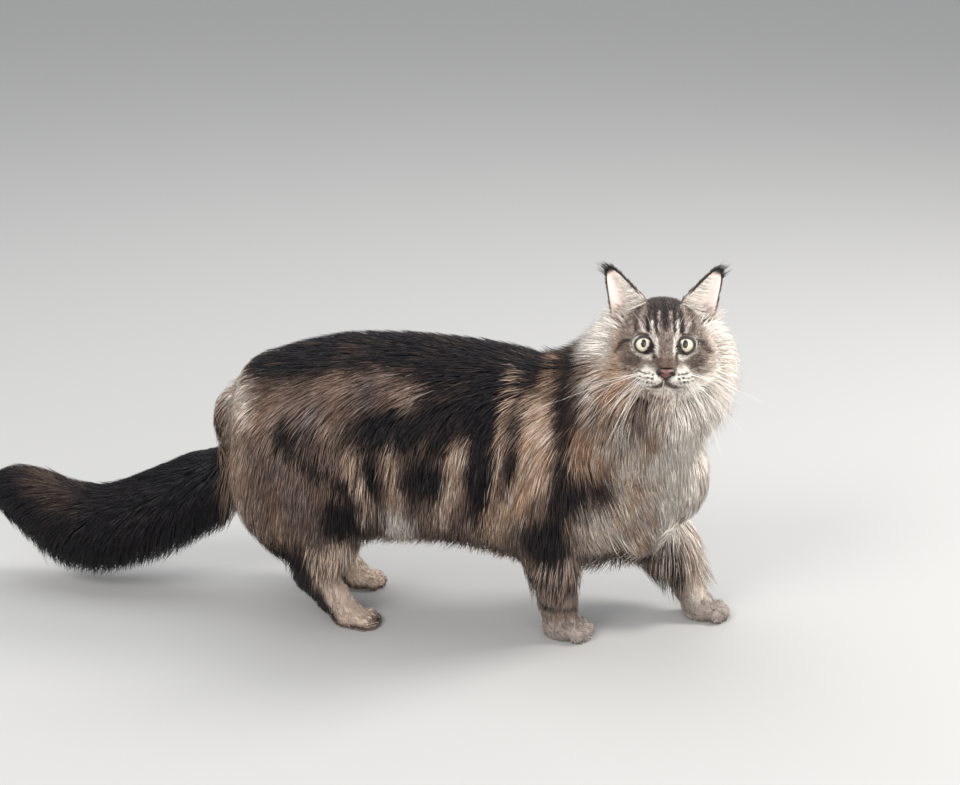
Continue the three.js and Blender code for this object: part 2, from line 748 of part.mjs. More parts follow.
// The ruff: rings of locks that lie away from the face and turn down to the chest
function ruffLocks() {
  const axis = new THREE.CatmullRomCurve3(points(NECK));
  const locks = [];
  // the frill round the face, from one ear under the chin to the other
  for (let k = 0; k < 11; k++) {
    const angle = THREE.MathUtils.degToRad(-125 + k * 25);
    const back = fromHead(-30, 0, -10);
    const out = fromHead(-30, Math.sin(angle), -10 - Math.cos(angle)).sub(back);
    const heading = out.clone().addScaledVector(HEAD.forward, 0.15).add(new THREE.Vector3(0, 0, -0.35));
    const size = { length: random(44, 56), width: LOCK.width * 0.7, fall: 0.8, lift: 4 };
    locks.push(lock(rootAt(back, out), heading, size));
  }
  for (let ring = 0; ring < 3; ring++) {
    const share = 0.96 - ring * 0.3;
    const middle = axis.getPoint(share);
    const along = axis.getTangent(share);
    const side = new THREE.Vector3().crossVectors(along, new THREE.Vector3(0, 0, 1)).normalize();
    const over = new THREE.Vector3().crossVectors(side, along);
    for (let k = 0; k < 10; k++) {
      const angle = ((k + (ring % 2) * 0.5 + random(-0.12, 0.12)) / 10) * 2 * Math.PI;
      const way = side.clone().multiplyScalar(Math.sin(angle)).addScaledVector(over, Math.cos(angle));
      const root = rootAt(middle, way);
      if (!clearOf(root, [headField], 1)) continue;
      const heading = along.clone().multiplyScalar(-1).add(new THREE.Vector3(0.1, 0, -0.5));
      const lift = random(0, 5);
      const size = { length: random(66, 84), width: LOCK.width * random(0.8, 1), fall: 0.5, lift };
      locks.push(lock(root, heading, size));
    }
  }
  return locks;
}

// The breeches: rows over the outer face and the back of each thigh
function breechesLocks(side) {
  const [[x, y, z]] = THIGH[side];
  const locks = [];
  for (let row = 0; row < 3; row++) {
    for (let k = 0; k < 4; k++) {
      const angle = THREE.MathUtils.degToRad(-76 + k * 46 + (row % 2) * 20 + random(-6, 6));
      const way = new THREE.Vector3(-Math.sin(angle), SIDES[side] * Math.cos(angle), 0);
      const middle = new THREE.Vector3(x + 10, y, z + 50 - row * 46);
      const root = rootAt(middle, way);
      if (root.y * SIDES[side] < 20) continue;
      const heading = new THREE.Vector3(-0.55, 0, -1);
      const size = { length: random(56, 72), width: LOCK.width * random(0.75, 0.95), lift: 3 };
      locks.push(lock(root, heading, size));
    }
  }
  return locks;
}

// The plume: locks that leave the tail backwards and hang from it
function plumeLocks(from, to) {
  const locks = [];
  for (let row = 0; row < 2; row++) {
    const x = mix(from, to, row * 0.5 + 0.12);
    const [top, bottom] = alongStations(TAIL, clamp(x, -530, -192));
    const middle = new THREE.Vector3(x, 0, mix(top, bottom, 0.45));
    for (let k = 0; k < 5; k++) {
      const angle = ((k + (row % 2) * 0.5 + 0.25) / 5) * 2 * Math.PI;
      const way = new THREE.Vector3(0, Math.sin(angle), Math.cos(angle));
      const under = (1 - Math.cos(angle)) / 2;
      const heading = new THREE.Vector3(-1, 0, 0.2 - under * 1.1);
      const length = Math.min(random(60, 76), x - TAIL[TAIL.length - 1][0] + 4);
      const size = { length, width: random(30, 38), lift: 1 + under * 3 };
      locks.push(lock(rootAt(middle, way), heading, size));
    }
  }
  return locks;
}

// Nodes: each is cut clear of those made before it
const COLOURS = {
  eye: [0xb9b078, 0.1],
  nose: [0x9a5a50, 0.5],
  ear: [0xb08a80, 0.8],
  fur: [0x6b5747, 0.9],
  dark: [0x1d1a1e, 0.9],
};
const group = new THREE.Group();
const made = [];

function addNode(name, kind, build, locks = []) {
  let solid = build(0, false);
  if (build.length > 1) solid = solid.intersect(build(0, true));
  if (locks.length) solid = wasm.Manifold.union([solid, ...locks.map((one) => lockSolid(one, 0))]);
  const box = solid.boundingBox();
  for (const other of made) {
    const near = [0, 1, 2].every((k) => box.min[k] < other.box.max[k] && box.max[k] > other.box.min[k]);
    if (near) solid = solid.subtract(other.grown);
  }
  solid = largest(solid);
  const grown = wasm.Manifold.union([
    build(GAP, true),
    ...locks.map((one) => lockSolid(one, GAP)),
  ]);
  made.push({ grown, box: grown.boundingBox() });

  const mesh = solid.setTolerance(0.02).getMesh();
  const place = new Float32Array(mesh.numVert * 3);
  for (let i = 0; i < mesh.numVert; i++)
    place.set(mesh.vertProperties.subarray(i * mesh.numProp, i * mesh.numProp + 3), i * 3);
  const geometry = new THREE.BufferGeometry()
    .setAttribute("position", new THREE.BufferAttribute(place, 3))
    .setIndex(new THREE.BufferAttribute(new Uint32Array(mesh.triVerts), 1));
  const [color, roughness] = COLOURS[kind];
  const node = new THREE.Mesh(
    geometry,
    new THREE.MeshStandardMaterial({ color, roughness, metalness: 0 }),
  );
  node.name = name;
  group.add(node);
}

for (const [side, sign] of Object.entries(SIDES)) {
  addNode(`eye_${side}`, "eye", (grow) => eye(sign, grow));
  addNode(`ear_${side}`, "ear", (grow) => ear(sign, grow));
}
addNode("nose", "nose", nose);
addNode("head", "fur", head);
for (const side of Object.keys(SIDES)) {
  addNode(`forepaw_${side}`, "fur", pawPiece(core[side].forepaw, PAW.fore[side], WRIST[side]));
  addNode(`foreleg_${side}`, "fur", legPiece(core[side].foreleg, FORELEG[side].slice(1), ELBOW[side]));
  addNode(`shoulder_${side}`, "fur", shoulderPiece(side));
  addNode(`hind_paw_${side}`, "fur", pawPiece(core[side].hindPaw, PAW.hind[side], ANKLE[side]));
  addNode(`hind_leg_${side}`, "fur", legPiece(core[side].hindLeg, HIND_LEG[side], KNEE[side]));
  addNode(`thigh_${side}`, "fur", thighPiece(side), breechesLocks(side));
}
["tail_tip", "tail_middle", "tail_base"].forEach((name, i) => {
  const [to, from] = TAIL_JOINTS.slice(i);
  addNode(name, "dark", tailPiece(from, to), plumeLocks(from, to));
});
addNode("neck", "fur", neckPiece, ruffLocks());
addNode("torso", "fur", torsoPiece, torsoLocks());

// The origin is on the floor, under the middle of the whole
const whole = new THREE.Box3().setFromObject(group);
group.position.set(-(whole.min.x + whole.max.x) / 2, -(whole.min.y + whole.max.y) / 2, -whole.min.z);

export default group;
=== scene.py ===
"""A life-size Maine Coon cat as a still model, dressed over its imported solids. The work is done in
millimetres in the cat's own frame and moved to the row frame, in metres, when a mesh is made."""

import math

import bpy
import numpy as np
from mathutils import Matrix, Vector


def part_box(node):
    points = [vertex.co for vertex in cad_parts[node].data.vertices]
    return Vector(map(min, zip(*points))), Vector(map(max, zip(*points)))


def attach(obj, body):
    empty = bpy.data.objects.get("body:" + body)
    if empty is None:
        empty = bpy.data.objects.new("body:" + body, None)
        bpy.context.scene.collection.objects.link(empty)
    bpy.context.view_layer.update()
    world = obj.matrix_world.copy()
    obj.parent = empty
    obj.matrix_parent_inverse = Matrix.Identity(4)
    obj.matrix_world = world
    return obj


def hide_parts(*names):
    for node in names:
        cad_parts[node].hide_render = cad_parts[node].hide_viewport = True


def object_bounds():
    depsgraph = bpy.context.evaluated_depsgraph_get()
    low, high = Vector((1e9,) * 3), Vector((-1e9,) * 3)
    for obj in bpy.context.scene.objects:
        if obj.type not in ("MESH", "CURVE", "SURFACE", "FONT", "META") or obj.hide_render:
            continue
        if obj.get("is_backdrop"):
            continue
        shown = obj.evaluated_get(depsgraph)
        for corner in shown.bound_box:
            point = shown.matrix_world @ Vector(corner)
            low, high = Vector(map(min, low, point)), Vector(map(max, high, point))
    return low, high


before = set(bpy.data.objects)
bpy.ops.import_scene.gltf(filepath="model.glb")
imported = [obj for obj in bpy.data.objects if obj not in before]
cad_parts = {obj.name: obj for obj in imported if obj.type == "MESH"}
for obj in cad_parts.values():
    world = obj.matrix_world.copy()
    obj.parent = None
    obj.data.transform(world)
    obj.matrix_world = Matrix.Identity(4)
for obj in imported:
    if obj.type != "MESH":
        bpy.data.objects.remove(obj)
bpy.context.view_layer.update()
rng = np.random.default_rng(17)


def unit(v):
    """Vectors along the last axis, made one long."""
    return v / np.maximum(np.linalg.norm(v, axis=-1, keepdims=True), 1e-9)


# Sizes of the body, in millimetres, as the solids have them

# Stations along X: x, then top, bottom and half width of the coat, then of the flesh
TRUNK = [
    (-206, 276, 180, 32, 256, 206, 20),
    (-197, 294, 154, 54, 274, 180, 36),
    (-184, 305, 136, 69, 289, 158, 46),
    (-150, 319, 112, 80, 305, 140, 58),
    (-95, 336, 92, 87, 323, 134, 63),
    (-30, 343, 84, 88, 332, 132, 63),
    (45, 342, 88, 87, 331, 130, 62),
    (115, 337, 78, 82, 325, 118, 59),
    (175, 330, 76, 78, 316, 114, 56),
    (235, 312, 88, 72, 292, 128, 50),
    (278, 288, 112, 62, 262, 150, 38),
    (292, 275, 124, 50, 254, 154, 34),
    (303, 258, 140, 34, 246, 162, 26),
]
TAIL = [
    (-192, 236, 150, 22, 232, 196, 17),
    (-217, 208, 98, 30, 203, 170, 16),
    (-264, 181, 62, 37, 174, 144, 15),
    (-314, 157, 30, 42, 149, 121, 14),
    (-369, 133, 10, 44, 125, 99, 13),
    (-408, 130, 6, 43, 122, 98, 11),
    (-440, 139, 14, 38, 131, 109, 10),
    (-470, 148, 40, 32, 140, 120, 9),
    (-500, 145, 78, 24, 137, 121, 7),
    (-524, 132, 100, 14, 126, 116, 5),
    (-536, 120, 110, 4, 118, 114, 3),
]
# Points: x, y, z, radius of the coat, radius of the flesh
NECK = [
    (200, 0, 226, 84, 50),
    (244, -6, 276, 88, 46),
    (274, -20, 314, 86, 42),
    (281, -32, 344, 62, 38),
]
FORELEG = {
    "right": [
        (176, -42, 206, 44, 30),
        (160, -47, 138, 36, 23),
        (170, -43, 88, 28, 17),
        (174, -40, 44, 23, 13),
        (179, -38, 20, 21, 13),
    ],
    "left": [
        (206, 42, 200, 44, 30),
        (248, 44, 140, 36, 23),
        (294, 40, 84, 25, 16),
        (316, 38, 42, 19, 12),
        (328, 37, 20, 19, 12),
    ],
}
HIND_LEG = {
    "right": [
        (-92, -46, 96, 36, 20),
        (-108, -52, 62, 25, 14),
        (-88, -53, 36, 20, 12),
        (-74, -52, 18, 18, 12),
    ],
    "left": [
        (-100, 46, 96, 36, 20),
        (-122, 50, 62, 25, 14),
        (-104, 50, 36, 20, 12),
        (-88, 49, 18, 18, 12),
    ],
}
THIGH = {
    "right": ((-118, -48, 172), (92, 42, 100), (66, 26, 70)),
    "left": ((-122, 48, 172), (90, 42, 100), (66, 26, 70)),
}
# Paws: middle, turn in degrees, length, width, height
PAW = {
    ("fore", "right"): (184, -38, -4, 31, 23, 17),
    ("fore", "left"): (338, 37, 0, 29, 22, 16),
    ("hind", "right"): (-62, -52, 0, 28, 20, 15),
    ("hind", "left"): (-76, 49, 2, 28, 20, 15),
}
HEAD_MIDDLE = np.array((283.0, -52.0, 367.0))
FORWARD = unit(np.array((0.12, -0.966, 0.2)))
UP = unit(np.array((0.0, 0.0, 1.0)) - FORWARD * FORWARD[2])
LEFT = np.cross(UP, FORWARD)
HEAD_AXES = np.stack([FORWARD, LEFT, UP])
EYE = np.array((33.0, 21.5, 0.0))
EYE_RADIUS = 12.0
OPENING = (8.7, 8.5)
NOSE = (77.0, -25.4)
EAR_BASE = np.array((-8.0, 34.0, 33.0))
EAR_TIP = np.array((-8.0, 58.0, 75.0))
EAR = {"width": 23.0, "depth": 15.0, "wall": 3.0}
MOUTH = [
    (74, 0, -31),
    (74, 0.4, -35),
    (72, 3, -38.6),
    (68, 9, -40.6),
    (62, 14, -40),
]
SKIN_SHARE = 0.4
SHORT_COAT = 2.6


def from_head(p):
    return HEAD_MIDDLE + np.asarray(p, float) @ HEAD_AXES


def into_head(p):
    return (p - HEAD_MIDDLE) @ HEAD_AXES.T


# The row frame's origin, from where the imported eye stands
low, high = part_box("eye_right")
packed_eye = np.array((low + high) / 2) * 1000
SHIFT = packed_eye - from_head(EYE * (1, -1, 1))


def metres(p):
    return (np.asarray(p, float) + SHIFT) / 1000


# Fields of distance, over arrays of points


def blend(a, b, size):
    h = np.maximum(size - np.abs(a - b), 0) / size
    return np.minimum(a, b) - h * h * size / 4


def joined(values, size):
    out = values[0]
    for v in values[1:]:
        out = blend(out, v, size)
    return out


def along_stations(rows, x):
    table = np.array(sorted(rows), float)
    xs, values = table[:, 0], table[:, 1:]
    slopes = np.gradient(values, xs, axis=0)
    slopes[0] = (values[1] - values[0]) / (xs[1] - xs[0])
    slopes[-1] = (values[-1] - values[-2]) / (xs[-1] - xs[-2])
    x = np.clip(x, xs[0], xs[-1])
    i = np.clip(np.searchsorted(xs, x) - 1, 0, len(xs) - 2)
    span = (xs[i + 1] - xs[i])[:, None]
    t = ((x - xs[i]) / span[:, 0])[:, None]
    t2, t3 = t * t, t * t * t
    return (
        (2 * t3 - 3 * t2 + 1) * values[i]
        + (t3 - 2 * t2 + t) * slopes[i] * span
        + (3 * t2 - 2 * t3) * values[i + 1]
        + (t3 - t2) * slopes[i + 1] * span
    )


def lofted(rows, share, p):
    s = along_stations(rows, p[:, 0])
    top = s[:, 3] + (s[:, 0] - s[:, 3]) * share
    bottom = s[:, 4] + (s[:, 1] - s[:, 4]) * share
    wide = np.maximum(s[:, 5] + (s[:, 2] - s[:, 5]) * share, 1)
    tall = np.maximum((top - bottom) / 2, 1)
    first, last = min(r[0] for r in rows), max(r[0] for r in rows)
    past = np.maximum(np.maximum(first - p[:, 0], p[:, 0] - last), 0)
    q = np.hypot(p[:, 1] / wide, (p[:, 2] - (top + bottom) / 2) / tall)
    least = np.minimum(wide, tall)
    return np.hypot(q * least, past) - least


def chain(rows, share, p):
    best = None
    for a, b in zip(rows, rows[1:]):
        start, way = np.array(a[:3], float), np.array(b[:3], float) - np.array(a[:3], float)
        ra, rb = (r[4] + (r[3] - r[4]) * share for r in (a, b))
        t = np.clip((p - start) @ way / (way @ way), 0, 1)
        d = np.linalg.norm(p - start - t[:, None] * way, axis=1) - (ra + (rb - ra) * t)
        best = d if best is None else blend(best, d, 6)
    return best


def ball(centre, radii, p, turn=0.0):
    c, s = math.cos(math.radians(turn)), math.sin(math.radians(turn))
    d = p - np.array(centre, float)
    u = (d[:, 0] * c + d[:, 1] * s) / radii[0]
    v = (d[:, 1] * c - d[:, 0] * s) / radii[1]
    w = d[:, 2] / radii[2]
    q = np.sqrt(u * u + v * v + w * w)
    slope = np.sqrt((u / radii[0]) ** 2 + (v / radii[1]) ** 2 + (w / radii[2]) ** 2)
    return np.where(q < 1e-6, -min(radii), q * (q - 1) / np.maximum(slope, 1e-9))


def paw_field(spec, p):
    x, y, turn, long, wide, high = spec
    c, s = math.cos(math.radians(turn)), math.sin(math.radians(turn))
    forms = []
    for share in (-0.66, -0.24, 0.24, 0.66):
        forward = long * (0.72 if abs(share) < 0.5 else 0.5)
        aside = share * wide
        centre = (x + forward * c - aside * s, y + forward * s + aside * c, high * 0.5)
        forms.append(ball(centre, (long * 0.36, wide * 0.34, high * 0.66), p, turn))
    centre = (x - long * 0.12 * c, y - long * 0.12 * s, high * 0.6)
    forms.append(ball(centre, (long * 0.8, wide * 0.92, high), p, turn))
    return joined(forms, 3.5)


def head_forms(p):
    def pair(at, radii):
        return [ball((at[0], at[1] * side, at[2]), radii, p) for side in (-1, 1)]

    skull = ball((-4, 0, 8), (44, 41, 38), p)
    cheeks = pair((4, 30, -14), (34, 24, 27))
    face = ball((30, 0, -12), (26, 27, 28), p)
    jaw = ball((20, 0, -36), (34, 26, 16), p)
    bridge = chain([(28, 0, 14, 14, 14), (52, 0, 0, 9.5, 9.5), (72, 0, -17, 8.5, 8.5)], 1, p)
    brows = pair((22, 21, 13), (15, 13, 10))
    muzzle = ball((48, 0, -28), (22, 23, 16), p)
    pads = pair((59, 14.5, -32), (16.5, 16, 12))
    chin = ball((54, 0, -44), (13, 15, 9), p)
    parts = [
        joined([skull, *cheeks, face, jaw], 14),
        joined([bridge, *brows], 6),
        joined([muzzle, *pads, chin], 5),
    ]
    return joined(parts, 9)


def body_field(p, share):
    legs = None
    for side in ("right", "left"):
        centre, coat, flesh = THIGH[side]
        radii = [f + (c - f) * share for c, f in zip(coat, flesh)]
        fore = blend(chain(FORELEG[side], 1, p), paw_field(PAW["fore", side], p), 8)
        lower = blend(chain(HIND_LEG[side], 1, p), paw_field(PAW["hind", side], p), 8)
        limb = np.minimum(fore, blend(ball(centre, radii, p), lower, 20))
        legs = limb if legs is None else np.minimum(legs, limb)
    middle = blend(lofted(TRUNK, share, p), chain(NECK, share, p), 34)
    middle = blend(middle, lofted(TAIL, share, p), 18)
    return blend(blend(middle, legs, 22), head_forms(into_head(p)), 10)


def to_line(p, line):
    """Distance from points to a line through a list of points."""
    best = np.full(len(p), 1e9)
    for a, b in zip(line, line[1:]):
        a, b = np.asarray(a, float), np.asarray(b, float)
        t = np.clip((p - a) @ (b - a) / max((b - a) @ (b - a), 1e-9), 0, 1)
        best = np.minimum(best, np.linalg.norm(p - a - t[:, None] * (b - a), axis=1))
    return best


def out_of(field, start, way, far=90.0):
    """Where rays leave a field: start and way are arrays of points."""
    near, out = np.zeros(len(start)), np.zeros(len(start)) + 1e-3
    inside = np.ones(len(start), bool)
    for _ in range(int(far / 2)):
        step = np.where(inside, out + 2, out)
        now = field(start + way * step[:, None]) < 0
        near = np.where(inside & now, step, near)
        out = step
        inside &= now
    for _ in range(12):
        middle = (near + out) / 2
        now = field(start + way * middle[:, None]) < 0
        near, out = np.where(now, middle, near), np.where(now, out, middle)
    return start + way * near[:, None]


def mouth_line(side):
    targets = np.array([(f, a * side, u) for f, a, u in MOUTH], float)
    start = np.stack([np.full(len(targets), 40.0), np.zeros(len(targets)), targets[:, 2] + 2], 1)
    return out_of(head_forms, start, unit(targets - start), 60)


MOUTH_LINES = {side: mouth_line(side) for side in (-1, 1)}


def to_mouth(q):
    return np.minimum(*[to_line(q, MOUTH_LINES[side]) for side in (-1, 1)])


def skin_field(p):
    """The skin: the body inside its coat, with sockets for the eyes and the line of the mouth."""
    d = body_field(p, SKIN_SHARE) + SHORT_COAT
    h = into_head(p)
    near = np.linalg.norm(h, axis=1) < 120
    if near.any():
        q = h[near]
        part = blend(d[near], ball((51, 0, -45), (12, 13, 9), q), 6)
        for side in (-1, 1):
            lip = to_line(q - np.array((-1.2, 0, -1.6)), MOUTH_LINES[side]) - 1.7
            part = blend(part, lip, 2.2)
            part = np.maximum(part, 1.0 - to_line(q, MOUTH_LINES[side]))
            to_eye = np.linalg.norm(q - EYE * (1, side, 1), axis=1)
            part = np.maximum(part, EYE_RADIUS + 0.1 - to_eye)
        part = np.maximum(part, -nose_field(q, 0.4))
        d[near] = part
    return np.maximum(d, 0.4 - p[:, 2])


def nose_field(q, grow=0.0):
    forward, up = NOSE
    g = grow
    forms = [
        ball((forward - 4, 0, up + 1.9), (7 + g, 7 + g, 4.4 + g), q),
        ball((forward - 6, 5.4, up + 1.7), (6 + g, 4.2 + g, 3.6 + g), q),
        ball((forward - 6, -5.4, up + 1.7), (6 + g, 4.2 + g, 3.6 + g), q),
        ball((forward - 5, 0, up - 2.4), (5 + g, 2.5 + g, 3.9 + g), q),
    ]
    return joined(forms, 3)


def gradient(field, p, reach=1.0):
    out = np.empty_like(p)
    for k in range(3):
        step = np.zeros(3)
        step[k] = reach
        out[:, k] = field(p + step) - field(p - step)
    return unit(out)


def probe(field, p, reach=1.5):
    """A field's value at points, and the way out of it there."""
    value = field(p)
    way = np.stack([field(p + step) - value for step in np.eye(3) * reach], 1)
    return value, unit(way)


def cells_beside(at, u, v, du, dv):
    """The cells next to edges of a grid, du and dv cells back along the axes u and v."""
    cells = at.copy()
    cells[:, u] -= du
    cells[:, v] -= dv
    return cells


def surface(field, lo, hi, cell, settle=2):
    """A closed mesh of a field's zero surface, with one vertex in each cell that it crosses."""
    lo, hi = np.array(lo, float), np.array(hi, float)
    shape = np.ceil((hi - lo) / cell).astype(int) + 1
    coarse = np.ceil((shape - 1) / 4).astype(int) + 1
    grid = np.stack(np.meshgrid(*[np.arange(n) for n in coarse], indexing="ij"), -1)
    rough = field(lo + grid.reshape(-1, 3) * cell * 4).reshape(coarse)
    full = rough.repeat(4, 0).repeat(4, 1).repeat(4, 2)[: shape[0], : shape[1], : shape[2]].copy()
    spots = np.argwhere(np.abs(full) < cell * 14)
    full[tuple(spots.T)] = field(lo + spots * cell)
    inside = full < 0
    total, count = np.zeros((*(shape - 1), 3)), np.zeros(shape - 1)
    faces_of = []
    for axis in range(3):
        a = [slice(None)] * 3
        b = [slice(None)] * 3
        a[axis], b[axis] = slice(0, -1), slice(1, None)
        cross = inside[tuple(a)] != inside[tuple(b)]
        at = np.argwhere(cross)
        va, vb = full[tuple(a)][cross], full[tuple(b)][cross]
        point = at.astype(float)
        point[:, axis] += va / (va - vb)
        u, v = [k for k in range(3) if k != axis]
        for du in (0, 1):
            for dv in (0, 1):
                c = cells_beside(at, u, v, du, dv)
                ok = ((c >= 0) & (c < shape - 1)).all(1)
                np.add.at(total, tuple(c[ok].T), point[ok])
                np.add.at(count, tuple(c[ok].T), 1)
        faces_of.append((axis, at, va < 0))
    used = count > 0
    number = np.full(used.shape, -1)
    number[used] = np.arange(used.sum())
    verts = lo + total[used] / count[used][:, None] * cell
    faces = []
    for axis, at, flip in faces_of:
        u, v = [(1, 2), (2, 0), (0, 1)][axis]
        corners = []
        for du, dv in ((1, 1), (0, 1), (0, 0), (1, 0)):
            c = cells_beside(at, u, v, du, dv)
            corners.append(number[tuple(np.clip(c, 0, np.array(number.shape) - 1).T)])
        quad = np.stack(corners, 1)
        quad[~flip] = quad[~flip][:, ::-1]
        faces.append(quad)
    faces = np.concatenate(faces)
    faces = faces[(faces >= 0).all(1)]
    for _ in range(settle):
        value = field(verts)
        verts = verts - gradient(field, verts, cell * 0.4) * np.clip(value, -cell, cell)[:, None]
    return verts, faces


# The coat's markings, as soft shapes on the body


def smooth(low, high, v):
    t = np.clip((v - low) / (high - low), 0, 1)
    return t * t * (3 - 2 * t)


def patch(u, v, centre, radii, tilt=0.0, soft=0.35):
    c, s = math.cos(math.radians(tilt)), math.sin(math.radians(tilt))
    du, dv = u - centre[0], v - centre[1]
    q = np.hypot((du * c + dv * s) / radii[0], (dv * c - du * s) / radii[1])
    return 1 - smooth(1 - soft, 1 + soft, q)


def stripe(u, v, line, width, soft=0.5):
    p = np.stack([u, v, np.zeros_like(u)], 1)
    d = to_line(p, [(a, b, 0.0) for a, b in line])
    return 1 - smooth(width * (1 - soft), width * (1 + soft), d)


def wave(p, scale, seed=0.0):
    """A smooth uneven value from -1 to 1 over space."""
    x, y, z = (p / scale + seed).T
    return (
        np.sin(x * 1.7 + 1.3 * np.sin(y * 1.1 + z)) * np.cos(z * 1.3 + 0.9 * np.sin(x * 0.7))
        + 0.5 * np.sin(y * 2.3 + x * 2.9 + 1.1 * np.cos(z * 2.1))
    ) / 1.5


# The marks of the flank, over x and z: first the line where the black of the back ends
SADDLE_X = (-215, -158, -120, -81, -43, -5, 15, 33, 104, 112, 135, 150, 165, 190)
SADDLE_Z = (291, 285, 296, 306, 311, 309, 300, 230, 226, 296, 296, 306, 318, 330)
# Dark patches: middle, radii, tilt in degrees
DARK_PATCHES = [
    ((-10, 250), (50, 27), 6),
    ((27, 197), (27, 31), 0),
    ((-31, 192), (11, 31), 8),
    ((90, 200), (15, 60), -2),
    ((-130, 237), (15, 14), 0),
    ((-61, 138), (33, 31), -20),
    ((207, 180), (38, 33), -8),
    ((168, 128), (31, 36), 0),
]
# Dark lines: points, half width
DARK_LINES = [
    ([(-137, 229), (-99, 204), (-63, 184), (-43, 166)], 7),
    ([(127, 300), (129, 250), (124, 200)], 6),
    ([(181, 352), (181, 270), (178, 178)], 12.5),
]
# Pale lines: points, half width, how warm, how pale
PALE_LINES = [
    ([(-57, 219), (-50, 190), (-36, 160)], 7, 0.7, 0.22),
    ([(-9, 224), (-7, 190), (-4, 156)], 8, 0.6, 0.2),
    ([(66, 240), (62, 200), (52, 166), (42, 138)], 9, 0.7, 0.25),
    ([(116, 320), (113, 270), (111, 215), (104, 176), (92, 148)], 3.6, 0.65, 0.1),
    ([(163, 336), (158, 292)], 3.2, 0.6, 0.0),
    ([(150, 278), (153, 240), (150, 206)], 18, 1.0, 0.3),
    ([(150, 216), (134, 182), (114, 152), (98, 126)], 12, 0.85, 0.2),
]
# Pale patches: middle, radii, tilt, how warm, how pale
PALE_PATCHES = [
    ((-9, 122), (20, 25), 0, 0.6, 1.0),
    ((-40, 140), (11, 9), 0, 0.6, 0.4),
    ((-198, 254), (22, 30), 10, 0.75, 0.72),
    ((213, 243), (25, 28), 0, 0.75, 0.05),
    ((240, 135), (44, 46), 0, 0.7, 0.55),
]
# Where the ruff begins, as x over z
RUFF_Z = (100, 140, 215, 260, 300, 340, 390)
RUFF_X = (232, 246, 240, 228, 206, 193, 186)


class Paint:
    """Marks at points, which are dark, warm and pale from 0 to 1, laid over a ground by masks."""

    def __init__(self, *ground):
        self.marks = np.stack(ground, 1)

    def __call__(self, mask, *laid):
        laid = np.stack([np.broadcast_to(value, mask.shape) for value in laid], 1)
        self.marks = self.marks + (laid - self.marks) * mask[:, None]

    def done(self):
        return np.clip(self.marks, 0, 1)


